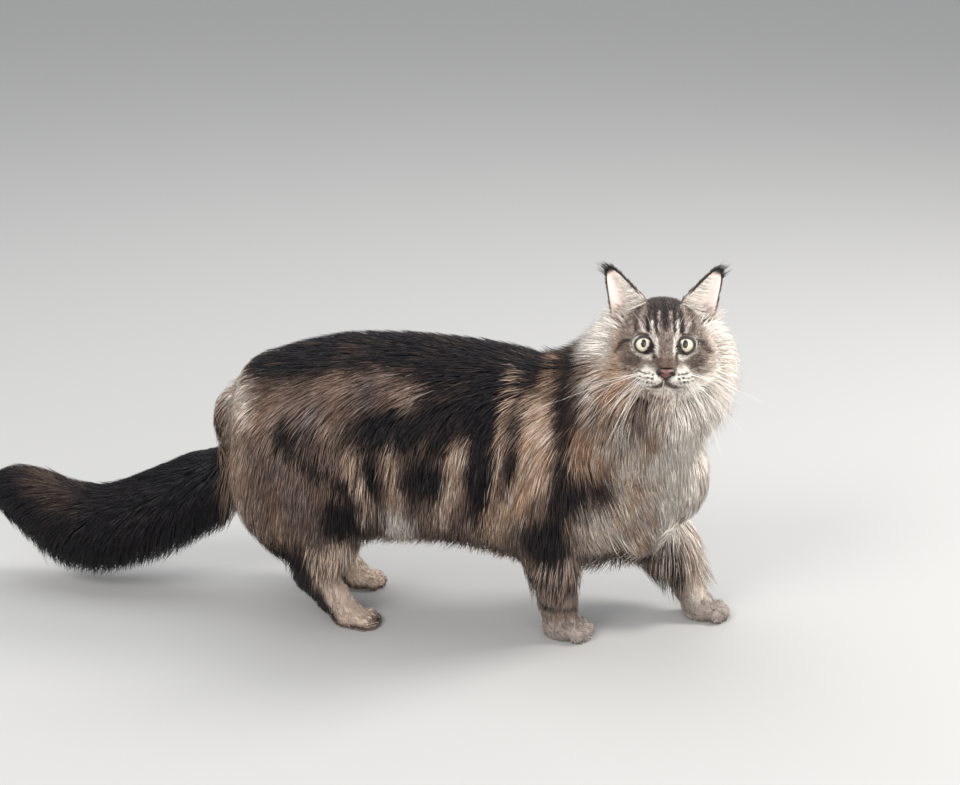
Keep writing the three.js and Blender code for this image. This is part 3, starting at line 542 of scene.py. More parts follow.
def body_marks(p):
    """Marks for points on the body, in the cat's frame."""
    x, y, z = p.T
    flank_x = np.where(y < 6, x, x * 0.96 - 6) + 3.0 * wave(p, 11.0, 5.0)
    level = z + 4.0 * wave(p, 14.0)
    paint = Paint(
        0.34 + 0.16 * wave(p, 17.0, 1.0),
        0.24 + 0.24 * wave(p, 30.0, 4.0),
        0.05 + 0.05 * wave(p, 20.0, 2.0),
    )
    saddle = smooth(-8, 8, level - np.interp(flank_x, SADDLE_X, SADDLE_Z)) * smooth(-222, -192, x)
    brown = smooth(0.35, 0.9, wave(p * (0.35, 1, 1), 8.0, 7.0)) * (1 - 0.5 * smooth(-60, 60, x))
    paint(saddle, 1.0 - 0.17 * brown, 0.5, 0.0)
    for centre, radii, tilt in DARK_PATCHES:
        paint(patch(flank_x, level, centre, radii, tilt), 1.0, 0.3, 0.0)
    for line, width in DARK_LINES:
        paint(stripe(flank_x, level, line, width), 0.96, 0.3, 0.0)
    for line, width, w, c in PALE_LINES:
        paint(stripe(flank_x, level, line, width), 0.08, w, c)
    for centre, radii, tilt, w, c in PALE_PATCHES:
        paint(patch(flank_x, level, centre, radii, tilt, 0.5) * 0.92, 0.06, w, c)
    rear = smooth(-158, -196, x) * (1 - smooth(232, 256, z))
    paint(rear * 0.7, 0.26, 0.6, 0.16)
    ruff = smooth(-8, 12, x - np.interp(level, RUFF_Z, RUFF_X))
    tone = wave(p, 15.0, 9.0)
    paint(ruff, 0.08 + 0.24 * tone**2, 0.5 + 0.3 * wave(p, 24.0, 5.0), 0.56 + 0.34 * tone)
    paint(ruff * (1 - smooth(222, 252, z)), 0.1 + 0.26 * tone**2, 0.9, 0.42 + 0.4 * tone)
    paint(ruff * patch(x, z, (262, 292), (22, 20), 0, 0.5), 0.44, 0.3, 0.26)
    paint(ruff * patch(x, z, (222, 286), (24, 30), 0, 0.5), 0.36, 0.55, 0.1)
    paint(ruff * patch(x, z, (234, 338), (26, 36), 0, 0.5) * (y < 10), 0.1, 0.95, 0.2)
    paint(ruff * patch(x, z, (206, 368), (22, 28), 0, 0.5), 0.0, 0.16, 1.0)
    # the front of the ruff pure white: pale fur, and painted sunlight where the sun burns it out
    paint(ruff * smooth(254, 286, x + 0.3 * y) * (0.8 + 0.2 * smooth(190, 250, z)), 0.0, 0.3, 1.0)
    # legs: grey and tan with dark bars, pale paws, dark at the back of the hocks
    leg = 1 - smooth(88, 108, z)
    bars = smooth(0.1, 0.8, np.sin(z / 4.6 + 0.03 * x))
    fore = leg * (x > 140)
    far = smooth(300, 335, x) * (y > 0)
    barred = (0.6 - 0.3 * far) * bars * smooth(30, 46, z)
    paint(fore, 0.34 - 0.14 * far + barred, 0.35, 0.16 + 0.44 * far)
    paint(fore * far * smooth(26, 40, z), 0.1, 0.8, 0.5)
    paint(fore * (1 - smooth(18, 34, z)), 0.3, 0.12, 0.3)
    hind = leg * (x < -40) * (x > -160)
    back = smooth(-4, 6, -95 - 0.45 * (z - 50) - x - 14 * (y > 0))
    paint(hind, 0.18 + 0.42 * bars * smooth(56, 80, z), 0.7, 0.34)
    paint(hind * back, 0.96, 0.2, 0.0)
    paint(hind * (1 - smooth(3, 10, z)), 0.6, 0.4, 0.0)
    # tail
    tail = smooth(-214, -234, x) * (z < 225)
    top = smooth(0.6, 1.0, (z - along_stations(TAIL, x)[:, 1]) / 110) * smooth(-380, -470, x)
    paint(tail, 1.0 - 0.2 * top, 0.4, 0.0)
    return paint.done()


# Marks of the face, over b outwards and u up as seen from the front, in the order they are laid.
# A stripe has its points, half width and softness, a patch its middle, radii, tilt and softness.
# Then the depths between which the mark comes in, or none, and how dark, warm and pale it is.
FRONT = (-6, 12)
FACE_MARKS = [
    # cheeks, grey and brown in front
    ("patch", ((35, -16), (12, 9), -12, 0.45), FRONT, (0.62, 0.3, 0.12)),
    ("patch", ((43, -4), (6, 10), 0, 0.5), FRONT, (0.5, 0.3, 0.12)),
    ("stripe", ([(32.5, 4), (42, 2.4), (47.5, -2), (52, -10)], 1.5, 0.5), None, (0.97, 0.1, 0.0)),
    ("stripe", ([(36, -27), (46, -29), (56, -24)], 1.8, 0.8), FRONT, (0.55, 0.3, 0.1)),
    # forehead
    ("patch", ((0, 42), (15, 20), 0, 0.5), None, (0.86, 0.2, 0.0)),
    ("stripe", ([(0, 15), (0, 48)], 2.6, 0.5), None, (0.98, 0.1, 0.0)),
    ("stripe", ([(10, 16), (10.6, 28), (10, 46)], 2.0, 0.5), None, (0.96, 0.1, 0.0)),
    ("stripe", ([(17.6, 15), (18.2, 24), (16.4, 34), (15, 44)], 2.1, 0.5), None, (0.95, 0.1, 0.0)),
    ("stripe", ([(30, 16), (31, 26), (26, 40)], 2.4, 0.8), None, (0.74, 0.2, 0.0)),
    ("stripe", ([(6.6, 17), (6.9, 24)], 1.2, 0.5), None, (0.2, 0.3, 0.5)),
    ("stripe", ([(6.3, 28), (6.0, 34)], 1.2, 0.5), None, (0.25, 0.3, 0.42)),
    ("stripe", ([(12.6, 11), (13.6, 18), (13.2, 24)], 1.5, 0.8), None, (0.06, 0.25, 0.8)),
    ("stripe", ([(22, 12.5), (23.4, 18), (25.6, 22)], 1.4, 0.8), None, (0.12, 0.25, 0.7)),
    # bridge of the nose, mauve brown and redder below
    ("patch", ((0, -2), (8, 20), 0, 0.3), FRONT, (0.42, 0.2, 0.16)),
    ("patch", ((0, -16), (11, 8), 0, 0.4), (40, 54), (0.6, 0.5, 0.05)),
    # pale beside the nose and below the eyes
    ("stripe", ([(9.6, 9), (9.0, 0), (9.8, -8)], 1.5, 0.8), FRONT, (0.05, 0.25, 0.85)),
    (
        "stripe",
        ([(15, -12), (22, -12.8), (30, -8.6), (33.5, -2)], 1.9, 0.8),
        FRONT,
        (0.06, 0.25, 0.84),
    ),
    # a pale ring and a black rim round each eye, and the tear marks
    ("ring", ((22.0, 0.6), (13.2, 12.6), 0, 0.2), FRONT, (0.08, 0.25, 0.8)),
    ("patch", ((22.0, 0.3), (10.3, 10.1), 0, 0.08), FRONT, (0.99, 0.0, 0.0)),
    ("stripe", ([(12.6, -6), (12.0, -10), (13.2, -16)], 1.0, 0.5), FRONT, (0.85, 0.2, 0.0)),
    # pads
    ("patch", ((19, -31), (14, 11), 0, 0.3), (38, 50), (0.0, 0.14, 1.0)),
    ("patch", ((8, -33), (8, 5), 0, 0.4), (50, 60), (0.02, 0.3, 0.9)),
]


def whisker_spot(row, k):
    """Where a whisker stands on its pad, and a dark spot with it: outwards and up."""
    return 13.2 + k * 4.6 + row * 0.8, (-26.5, -31.2, -35.8)[row] + 0.5 * k


def face_marks(q):
    """Marks for points on the head, in its own frame: f forward, a aside and u up."""
    f, a, u = (q + np.stack([wave(q, 5.0, k) for k in range(3)], 1) * (0, 0.7, 0.9)).T
    b = np.abs(a)
    paint = Paint(
        0.40 + 0.18 * wave(q, 6.0),
        0.30 + 0.2 * wave(q, 12.0, 3.0),
        0.20 + 0.14 * wave(q, 5.0, 6.0),
    )
    # warm and pale at the side of the cheeks, and paler still on its left, the sunlit side, as
    # painted light
    paint(smooth(-2, -26, u) * smooth(16, 30, b), 0.16, 0.5, 0.55)
    paint(smooth(43, 52, b) * (u < 24), 0.14, 0.95, 0.42 - 0.26 * (a < 0))
    for kind, form, depth, laid in FACE_MARKS:
        mask = stripe(b, u, *form) if kind == "stripe" else patch(b, u, *form)
        if kind == "ring":
            mask = mask * (1 - 0.7 * smooth(8, 12, u))
        paint(mask if depth is None else mask * smooth(*depth, f), *laid)
    for row in range(3):
        for k in range(4):
            spot = patch(b, u, whisker_spot(row, k), (1.9, 1.05), 0, 0.35)
            paint(spot * smooth(44, 52, f), 0.94, 0.1, 0.0)
    # chin, mouth and the skin round the nose leather
    paint(patch(b, u, (0, -48), (20, 9), 0, 0.35) * smooth(30, 42, f), 0.03, 0.1, 0.96)
    paint((1 - smooth(1.0, 3.6, to_mouth(q))) * smooth(22, 9, b), 0.66, 0.3, 0.1)
    paint(1 - smooth(0.4, 1.6, nose_field(q)), 0.9, 0.4, 0.0)
    # throat, and back of the head
    paint(smooth(-54, -64, u) * (b < 60), 0.3, 0.35, 0.5)
    paint(smooth(-16, -34, f), 0.5, 0.4, 0.2)
    return paint.done()


def marks(p):
    q = into_head(p)
    share = 1 - smooth(-2, 9, head_forms(q))
    share = share * smooth(-44, -30, q[:, 0] + 0.4 * q[:, 2])
    return body_marks(p) * (1 - share)[:, None] + face_marks(q) * share[:, None]


# Meshes


def mesh_object(name, verts, faces, values=None, uvs=None):
    """An object in the row frame. values are attributes by name, one number for each vertex."""
    mesh = bpy.data.meshes.new(name)
    size = faces.shape[1]
    mesh.vertices.add(len(verts))
    mesh.vertices.foreach_set("co", metres(verts).astype(np.float32).ravel())
    mesh.loops.add(faces.size)
    mesh.loops.foreach_set("vertex_index", faces.astype(np.int32).ravel())
    mesh.polygons.add(len(faces))
    mesh.polygons.foreach_set("loop_start", np.arange(0, faces.size, size, dtype=np.int32))
    mesh.polygons.foreach_set("use_smooth", np.full(len(faces), True))
    mesh.update(calc_edges=True)
    for key, value in (values or {}).items():
        layer = mesh.attributes.new(key, "FLOAT", "POINT")
        layer.data.foreach_set("value", np.asarray(value, np.float32))
    if uvs is not None:
        layer = mesh.uv_layers.new(name="OFBake")
        layer.data.foreach_set("uv", uvs[faces.ravel()].astype(np.float32).ravel())
    obj = bpy.data.objects.new(name, mesh)
    bpy.context.scene.collection.objects.link(obj)
    return obj


def grid_faces(rows, columns, closed=False):
    """Quads between rings of points. Closed joins the last ring to the first."""
    i, j = np.meshgrid(np.arange(rows), np.arange(columns), indexing="ij")
    n, k = ((i + 1) % rows if closed else i + 1), (j + 1) % columns
    quads = [i * columns + j, n * columns + j, n * columns + k, i * columns + k]
    return np.stack(quads, -1).reshape(-1, 4)


def fur_values(marks_of, tint, along):
    """The attributes that fur_material reads: along also sets how much painted shade it lays at the
    roots.
    """
    dark, warm, pale = np.asarray(marks_of, float).T
    tint, along = (np.broadcast_to(value, dark.shape) for value in (tint, along))
    return {"dark": dark, "warm": warm, "pale": pale, "tint": tint, "along": along}


def unwrap(p):
    """A place on a flat sheet for points of the skin: trunk, tail, head and legs have panels."""
    x, y, z = p.T
    q = into_head(p)
    angle = np.arctan2(y, z - 215) / (2 * math.pi) + 0.5
    uv = np.stack([0.02 + 0.54 * (x + 245) / 600, 0.02 + 0.46 * angle], 1)
    tail = x < -222
    turn = np.arctan2(y, z - along_stations(TAIL, x)[:, :2].mean(1)) / (2 * math.pi) + 0.5
    uv[tail] = np.stack([0.6 + 0.38 * (x + 540) / 320, 0.02 + 0.3 * turn], 1)[tail]
    head = head_forms(q) < 6
    side = np.arctan2(q[:, 1], q[:, 2]) / (2 * math.pi) + 0.5
    uv[head] = np.stack([0.02 + 0.44 * (q[:, 0] + 60) / 140, 0.52 + 0.46 * side], 1)[head]
    leg = (z < 84) & ~tail & ~head
    column = 0.5 + 0.125 * ((x > 100).astype(float) + 2 * (y > 0))
    leg_middle = np.where(x > 100, 250, -90)
    round_leg = np.arctan2(y - 45 * np.sign(y), x - leg_middle) / (2 * math.pi) + 0.5
    uv[leg] = np.stack([column + 0.11 * round_leg, 0.52 + 0.46 * z / 84], 1)[leg]
    return uv


def new_material(name, roughness):
    """A material, its node tree and the inputs of its shader."""
    material = bpy.data.materials.new(name)
    material.use_nodes = True
    inputs = material.node_tree.nodes["Principled BSDF"].inputs
    inputs["Roughness"].default_value = roughness
    return material, material.node_tree, inputs


def simple(name, color, roughness):
    material, _, inputs = new_material(name, roughness)
    inputs["Base Color"].default_value = (*color, 1)
    return material


def noise(tree, scale):
    node = tree.nodes.new("ShaderNodeTexNoise")
    node.inputs["Scale"].default_value = scale
    return node


def attribute(tree, name):
    node = tree.nodes.new("ShaderNodeAttribute")
    node.attribute_name = name
    return node.outputs["Fac"]


def feed(tree, socket, value):
    """Links a socket to an input, or sets the input to a number or a colour."""
    if hasattr(value, "is_linked"):
        tree.links.new(value, socket)
    else:
        socket.default_value = (*value, 1) if isinstance(value, tuple) else value


def mixed(tree, share, a, b):
    """A colour between two: each is a colour or a socket."""
    node = tree.nodes.new("ShaderNodeMix")
    node.data_type = "RGBA"
    for key, value in (("Factor", share), (6, a), (7, b)):
        feed(tree, node.inputs[key], value)
    return node.outputs[2]


def calculated(tree, operation, a, b):
    node = tree.nodes.new("ShaderNodeMath")
    node.operation = operation
    node.use_clamp = True
    for socket, value in zip(node.inputs, (a, b)):
        feed(tree, socket, value)
    return node.outputs[0]


BROWN = (0.152, 0.099, 0.087)
TAN = (0.57, 0.352, 0.215)
CREAM = (0.97, 0.90, 0.82)
BLACK = (0.0095, 0.0085, 0.0115)


def fur_material(name, bump=0.0):
    """Brown, turned to tan, cream and black by the marks, uneven by tuft, with painted shade deepest
    at the roots.
    """
    material, tree, inputs = new_material(name, 0.46)
    grain = noise(tree, 420.0)
    grain.inputs["Detail"].default_value = 3.0
    color = mixed(tree, attribute(tree, "warm"), BROWN, TAN)
    color = mixed(tree, attribute(tree, "pale"), color, CREAM)
    color = mixed(tree, attribute(tree, "dark"), color, BLACK)
    tone_and_shade_dark = mixed(tree, 0.5, color, (0.0, 0.0, 0.0))
    # each tuft's tint and the grain darken it at random, as tone and painted shade among the hairs;
    # along lays painted shade towards the roots
    for share in (
        calculated(tree, "MULTIPLY", attribute(tree, "tint"), 0.45),
        calculated(tree, "MULTIPLY", grain.outputs[0], 0.2),
        calculated(tree, "SUBTRACT", 0.55, attribute(tree, "along")),
    ):
        color = mixed(tree, share, color, tone_and_shade_dark)
    tree.links.new(color, inputs["Base Color"])
    inputs["Specular IOR Level"].default_value = 0.26
    if bump:
        height = tree.nodes.new("ShaderNodeBump")
        height.inputs["Strength"].default_value = bump
        height.inputs["Distance"].default_value = 0.0006
        tree.links.new(noise(tree, 1500.0).outputs[0], height.inputs["Height"])
        tree.links.new(height.outputs[0], inputs["Normal"])
    return material


FUR = fur_material("fur")
SKIN = fur_material("undercoat", 0.5)

# The skin: the body, and the head on finer cells, in one mesh


def ahead_of_neck(q):
    """How far a point of the head is past the slanting plane where its finer skin begins."""
    return 0.87 * q[:, 0] + 0.5 * q[:, 2]


def body_skin(p):
    q, skin_at = into_head(p), skin_field(p)
    near = np.linalg.norm(q, axis=1) < 110
    return np.where(near, np.maximum(skin_at, ahead_of_neck(q) + 6), skin_at)


def head_skin(p):
    q = into_head(p)
    return np.maximum(np.maximum(skin_field(p), -26 - ahead_of_neck(q)), head_forms(q) - 1)


body_cell, head_cell = ((3.2, 1.5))
body_verts, body_faces = surface(body_skin, (-560, -110, -6), (372, 110, 420), body_cell)
corners = [from_head((f, a, u)) for f in (-50, 92) for a in (-66, 66) for u in (-70, 60)]
head_verts, head_faces = surface(
    head_skin, np.min(corners, 0), np.max(corners, 0), head_cell, 1
)
skin_verts = np.concatenate([body_verts, head_verts])
skin_faces = np.concatenate([body_faces, head_faces + len(body_verts)])
skin_marks = np.clip(marks(skin_verts) + (0.1, 0, 0), 0, 1)
# along 0.5 gives the skin a little of the painted root shade
skin_values = fur_values(skin_marks, 0.3, 0.5)
skin = mesh_object("skin", skin_verts, skin_faces, skin_values, unwrap(skin_verts))
skin.data.materials.append(SKIN)

# Tufts: thin tapered solids with three sides, rooted in the skin


def skin_points(count, weight):
    """Points spread over the skin, more where weight is high."""
    a, b, c, d = (skin_verts[skin_faces[:, k]] for k in range(4))
    first = np.linalg.norm(np.cross(b - a, c - a), axis=1) / 2
    second = np.linalg.norm(np.cross(c - a, d - a), axis=1) / 2
    middle = (a + b + c + d) / 4
    area = (first + second) * weight(middle)
    chosen = rng.choice(len(area), count, p=area / area.sum())
    s, t = rng.random(count)[:, None], rng.random(count)[:, None]
    a, b, c, d = a[chosen], b[chosen], c[chosen], d[chosen]
    return (a * (1 - s) + b * s) * (1 - t) + (d * (1 - s) + c * s) * t


def coat_field(p):
    return body_field(p, 1.0)


def tail_height(p):
    """How high a point is on the tail: 0 at its underside, 1 on top."""
    t = along_stations(TAIL, p[:, 0])
    return (p[:, 2] - t[:, 1]) / np.maximum(t[:, 0] - t[:, 1], 1)


def comb(p):
    """The lie of the coat at points: a heading, not yet along the surface."""
    x, y, z = p.T
    q = into_head(p)
    s = along_stations(TRUNK, x)
    down = 1 - np.clip((z - s[:, 1]) / np.maximum(s[:, 0] - s[:, 1], 1), 0, 1)
    angle = np.radians(9 + 74 * smooth(0.0, 0.46, down))
    way = np.stack([-np.cos(angle), 0 * x, -np.sin(angle)], 1)
    tail = smooth(-205, -235, x)
    low_side = 1 - smooth(0.45, 1.0, tail_height(p))
    hang = np.stack([-1 + 0.72 * low_side, 0 * x, 0.1 - 1.45 * low_side], 1)
    way = way + (hang - way) * tail[:, None]
    chest = smooth(205, 250, x) * smooth(120, 160, z)
    inward = 0.62 * (1 - smooth(262, 300, x))
    shoulder = smooth(178, 214, x) * smooth(110, 150, z) * (1 - smooth(270, 320, z))
    drawn = np.stack([inward, -0.003 * y, 0 * z - 1.1], 1)
    way = way + (drawn - way) * np.maximum(chest, shoulder)[:, None]
    away = unit(p - (HEAD_MIDDLE + FORWARD * -6))
    ruff = 1 - smooth(70, 130, np.linalg.norm(p - np.array(NECK[3][:3]), axis=1))
    way = way + (away * 1.2 + np.array((-0.05, 0.1, -0.75)) - way) * ruff[:, None]
    places = (np.abs(x - 190) < 30) | (np.abs(x - 300) < 60) | (np.abs(x + 85) < 50)
    legs = (1 - smooth(96, 124, z)) * places * (tail <= 0)
    way = way + (np.array((-0.12, 0, -1.0)) - way) * legs[:, None]
    paws = (1 - smooth(16, 34, z)) * (legs > 0)
    way = way + (np.array((1.0, 0, -0.45)) - way) * paws[:, None]
    # face: back from the nose, out over the cheeks, up over the forehead
    face = 1 - smooth(-1, 7, head_forms(q))
    f, a, u = q.T
    local = np.stack([-0.8 + 0 * f, a / 30, (u + 20) / 30], 1)
    local[:, 2] = np.where(u < -30, (u + 30) / 22 - 0.5, local[:, 2])
    for side in (-1, 1):
        to_eye = EYE * (1, side, 1) - q
        far = np.linalg.norm(to_eye, axis=1)
        to_eye = to_eye / far[:, None]
        across = np.maximum((local * to_eye).sum(1), 0) * (1 - smooth(3, 9, far - EYE_RADIUS))
        local = local - to_eye * (across * 1.15)[:, None]
    way = way + (local @ HEAD_AXES - way) * face[:, None]
    return unit(way)


def gathered(p, size):
    """Which lock each root belongs to, with about size roots in a lock."""
    seeds = p[rng.choice(len(p), max(len(p) // size, 1), replace=False)]
    square = (seeds**2).sum(1)
    near = [np.argmin(square - 2 * part @ seeds.T, 1) for part in np.array_split(p, 12)]
    return np.concatenate(near), len(seeds)


# Where a tuft's rings stand along it, by their number
STEPS = {2: (0.0, 0.5, 1.0), 3: (0.0, 0.28, 0.64, 1.0)}
TURNS = (math.pi / 2, math.pi * 7 / 6, math.pi * 11 / 6)
CORNERS = [(math.cos(turn), math.sin(turn)) for turn in TURNS]
# The side of a tuft's patch on the flat sheet
PATCH = 0.003


def prisms(name, verts, roots, shares, marks_of, tint, least=0.0):
    """Tapered solids with three sides: verts holds each one's rings of three and then its tip, and
    shares says where the rings and the tip stand along it."""
    count, per = verts.shape[:2]
    last = per - 4
    faces = [(0, 1, 2)]
    for k in range(0, last, 3):
        for j in range(3):
            a, b = k + j, k + (j + 1) % 3
            faces += [(a, b + 3, b), (a, a + 3, b + 3)]
    faces += [(last + j, per - 1, last + (j + 1) % 3) for j in range(3)]
    faces = (np.array(faces)[None] + per * np.arange(count)[:, None, None]).reshape(-1, 3)
    along = np.concatenate([np.repeat(shares[:-1], 3), [1.0]])
    across = np.tile((0, PATCH / 2, PATCH), per)[:per]
    uv = unwrap(roots)[:, None, :] + np.stack([along * PATCH, across], 1)
    # lit: each ring's place along its tuft, never under least, which sets its painted shade at the
    # roots
    lit = np.tile(np.maximum(along, least), count)
    values = fur_values(np.repeat(marks_of, per, 0), np.repeat(tint, per), lit)
    obj = mesh_object(name, verts.reshape(-1, 3), faces, values, uv.reshape(-1, 2))
    obj.data.materials.append(FUR)
    return obj


def grow_tufts(
    name,
    count,
    weight,
    length,
    width,
    lift,
    rings=3,
    fall=0.12,
    lock=(12, 0.3),
    vary=(0.1, 0.1),
    jitter=3.0,
):
    """Length, width and lift are in millimetres: lift is how far the tips stand past the coat. fall
    is how much the tufts sag, lock the roots in a lock and how far they draw together, vary how
    much dark and pale differ by lock and tuft, and jitter how far off a mark's edge may be read."""
    p = skin_points(count, weight)
    lengths = length(p) * rng.uniform(0.72, 1.18, count)
    widths = width * rng.uniform(0.75, 1.25, count) * 1.0
    depth, normal = probe(coat_field, p)
    rise = rng.uniform(0.0, 0.62, count) ** 1.5
    tips = depth * rise + lift(p) * rng.uniform(0.2, 1.0, count)
    current = comb(p) + rng.normal(0, 0.13, (count, 3))
    shares = np.array(STEPS[rings])
    at = p - normal * 0.8
    path, normals = [at], [normal]
    for before, share in zip(shares, shares[1:]):
        current = current - np.array((0, 0, fall)) * share
        current = unit(current - normal * (current * normal).sum(1)[:, None])
        at = at + current * (lengths * (share - before))[:, None]
        value, normal = probe(coat_field, at)
        target = depth + (tips - depth) * share**0.7
        at = at + normal * np.clip(target - value, -14, 14)[:, None]
        path.append(at)
        normals.append(normal)
    path, normals = np.stack(path, 1), np.stack(normals, 1)
    near, locks = gathered(p, lock[0])
    total = np.zeros((locks, *path.shape[1:]))
    np.add.at(total, near, path)
    middle = total / np.bincount(near, minlength=locks)[:, None, None]
    path = path + (middle[near] - path) * lock[1] * shares[None, :, None] ** 1.5
    path[:, :, 2] = np.maximum(path[:, :, 2], 0.6)
    taper = 1 - 0.5 * shares[:-1] ** 1.5
    taper[0] = 0.8
    verts = np.empty((count, 3 * rings + 1, 3))
    for k in range(rings):
        along = unit(path[:, k + 1] - path[:, max(k - 1, 0)])
        side = unit(np.cross(along, normals[:, k]))
        up = np.cross(side, along)
        for j, (c, s) in enumerate(CORNERS):
            offset = side * c + up * s * 0.45
            verts[:, 3 * k + j] = path[:, k] + offset * widths[:, None] * taper[k] / 2
    verts[:, -1] = path[:, -1]
    seen = path[:, rings // 2] * 0.4 + path[:, -1] * 0.6
    color = marks(seen + rng.normal(0, jitter, (count, 3)))
    for channel, amount in ((0, vary[0]), (2, vary[1])):
        change = rng.normal(0, amount, locks)[near] + rng.normal(0, amount, count) * 0.7
        change = change * (color[:, channel] > 0.02) * (1 - 0.75 * smooth(0.7, 0.95, color[:, 0]))
        color[:, channel] = np.clip(color[:, channel] + change, 0, 1)
    obj = prisms(name, verts, p, shares, color, rng.random(count))
    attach(obj, "root")


def head_share(p):
    return 1 - smooth(0, 8, head_forms(into_head(p)) + SHORT_COAT)


def short_leg(p):
    x, y, z = p.T
    low_down = 1 - smooth(84, 118, z)
    return low_down * ((x > 130) | (x < -40)) * (x > -170) * (1 - head_share(p))


def leg_weight(p):
    return short_leg(p) * (2.2 - 1.2 * smooth(24, 40, p[:, 2]))


def is_neck(p):
    x, y, z = p.T
    behind = smooth(-22, 0, x - np.interp(z, RUFF_Z, RUFF_X))
    return behind * smooth(84, 104, z) * (1 - head_share(p))


def is_tail(p):
    return smooth(-212, -222, p[:, 0]) * (p[:, 2] < 215)


def is_trunk(p):
    return (1 - is_tail(p)) * (1 - is_neck(p)) * (1 - head_share(p)) * (1 - short_leg(p)) + 1e-6


def constant(value):
    return lambda p: np.full(len(p), float(value))


def near_eye(p):
    q = into_head(p)
    return np.min([np.linalg.norm(q - EYE * (1, s, 1), axis=1) for s in (-1, 1)], axis=0)


def face_weight(p):
    q = into_head(p)
    clear = (near_eye(p) > EYE_RADIUS + 0.4) * (nose_field(q) > 0.8)
    denser = 0.5 + 1.2 * smooth(0, 30, q[:, 0])
    return head_share(p) * clear * (to_mouth(q) > 1.3) * denser + 1e-9


def face_length(p):
    q = into_head(p)
    base = 4.2 + 7 * smooth(26, -20, q[:, 0])
    cheek = 12 * smooth(34, 50, np.abs(q[:, 1])) * smooth(24, 0, q[:, 2])
    clear = smooth(EYE_RADIUS + 1, EYE_RADIUS + 9, near_eye(p))
    return (base + cheek) * (0.5 + 0.5 * clear)


def tail_length(p):
    return 50 + 22 * (1 - smooth(0.2, 0.7, tail_height(p)))


def tail_lift(p):
    return 5 + 17 * (1 - smooth(0.15, 0.55, tail_height(p)))


def frill_weight(p):
    """The sides of the head behind the face, below the ears. It has no limit downwards or outwards,
    so the near shoulder and flank have these tufts too, where they are level with it."""
    f, a, u = into_head(p).T
    beside = smooth(14, 4, f) * smooth(-44, -30, f) * smooth(30, 40, np.abs(a))
    return beside * smooth(46, 36, u) + 1e-9


def ruff_length(p):
    return 48 + 22 * (1 - smooth(150, 215, p[:, 2]))


def ruff_lift(p):
    return 8 + 14 * (1 - smooth(140, 190, p[:, 2]))


def frill_lift(p):
    a = into_head(p)[:, 1]
    return np.where(a > 0, 20.0, 14.0)


def trunk_length(p):
    return 42 + 16 * (1 - smooth(110, 230, p[:, 2]))


def leg_length(p):
    return 5 + 9 * smooth(14, 60, p[:, 2])


def fringe(p):
    return 2.5 + 7 * (1 - smooth(110, 140, p[:, 2]))


for k in range(3):
    grow_tufts(f"coat_{k}", 11500, is_trunk, trunk_length, 1.35, fringe, vary=(0.1, 0.07))
for k in range(2):
    grow_tufts(
        f"ruff_{k}", 10100, is_neck, ruff_length, 1.3, ruff_lift, 3, 0.3, (16, 0.55), (0.2, 0.22)
    )
grow_tufts(
    "ruff_frill", 3600, frill_weight, constant(38), 1.0, frill_lift, 3, 0.25, (14, 0.5), (0.1, 0.16)
)
grow_tufts(
    "tail_fur", 9400, is_tail, tail_length, 1.5, tail_lift, 3, 0.2, (12, 0.5), (0.06, 0.05)
)
grow_tufts("leg_fur", 10200, leg_weight, leg_length, 0.95, constant(0.3), 2, lock=(8, 0.1))


def face_part(front):
    """The weight of the face's fur, ahead of a plane across the head or behind it."""
    return lambda p: face_weight(p) * ((into_head(p)[:, 0] > 22) == front) + 1e-9


for k, (width, jitter) in enumerate(((0.6, 0.55), (0.85, 1.2))):
    grow_tufts(
        f"face_fur_{k}",
        14000,
        face_part(k == 0),
        face_length,
        width,
        constant(0.3),
        2,
        0.02,
        (8, 0.1),
        (0.08, 0.08),
        jitter,
    )

# Eyes


# Where the cat looks, which is the camera's place
GAZE_AT = np.array((396.0, -1811.0, 946.0))


def eyeball(side, word):
    rows, columns = 72, 64
    eye = EYE * (1, side, 1)
    gaze = unit(GAZE_AT - from_head(eye)) @ HEAD_AXES.T
    gaze = unit(gaze + np.array((0, 0.015 * side, 0.05)))
    over = unit(np.array((0, 0, 1.0)) - gaze * gaze[2])
    aside = np.cross(over, gaze)
    polar = np.linspace(0, math.pi, rows + 1)
    turn = np.linspace(0, 2 * math.pi, columns, endpoint=False)
    grid_p, grid_t = np.meshgrid(polar, turn, indexing="ij")
    bulge = 1 + 0.045 * np.exp(-((grid_p / 0.55) ** 4))
    a = np.sin(grid_p) * np.cos(grid_t)
    b = np.sin(grid_p) * np.sin(grid_t)
    c = np.cos(grid_p)
    local = a[..., None] * aside + b[..., None] * over + c[..., None] * gaze
    verts = from_head(eye + (local * (bulge * EYE_RADIUS)[..., None]).reshape(-1, 3))
    behind = c < 0
    values = {
        "iris": (np.hypot(a, b) + behind).ravel(),
        "pupil": (np.hypot(a * 1.55, b) + behind).ravel(),
    }
    obj = mesh_object(f"eyeball_{word}", verts, grid_faces(rows, columns), values)
    obj.data.materials.append(EYE_MATERIAL)
    return obj


# Colours of the iris by the distance from its middle, in radii of the eye
IRIS = [
    (0.0, (0.40, 0.345, 0.25)),
    (0.38, (0.66, 0.60, 0.475)),
    (0.60, (0.55, 0.495, 0.375)),
    (0.70, (0.17, 0.145, 0.10)),
    (0.76, (0.012, 0.010, 0.008)),
]


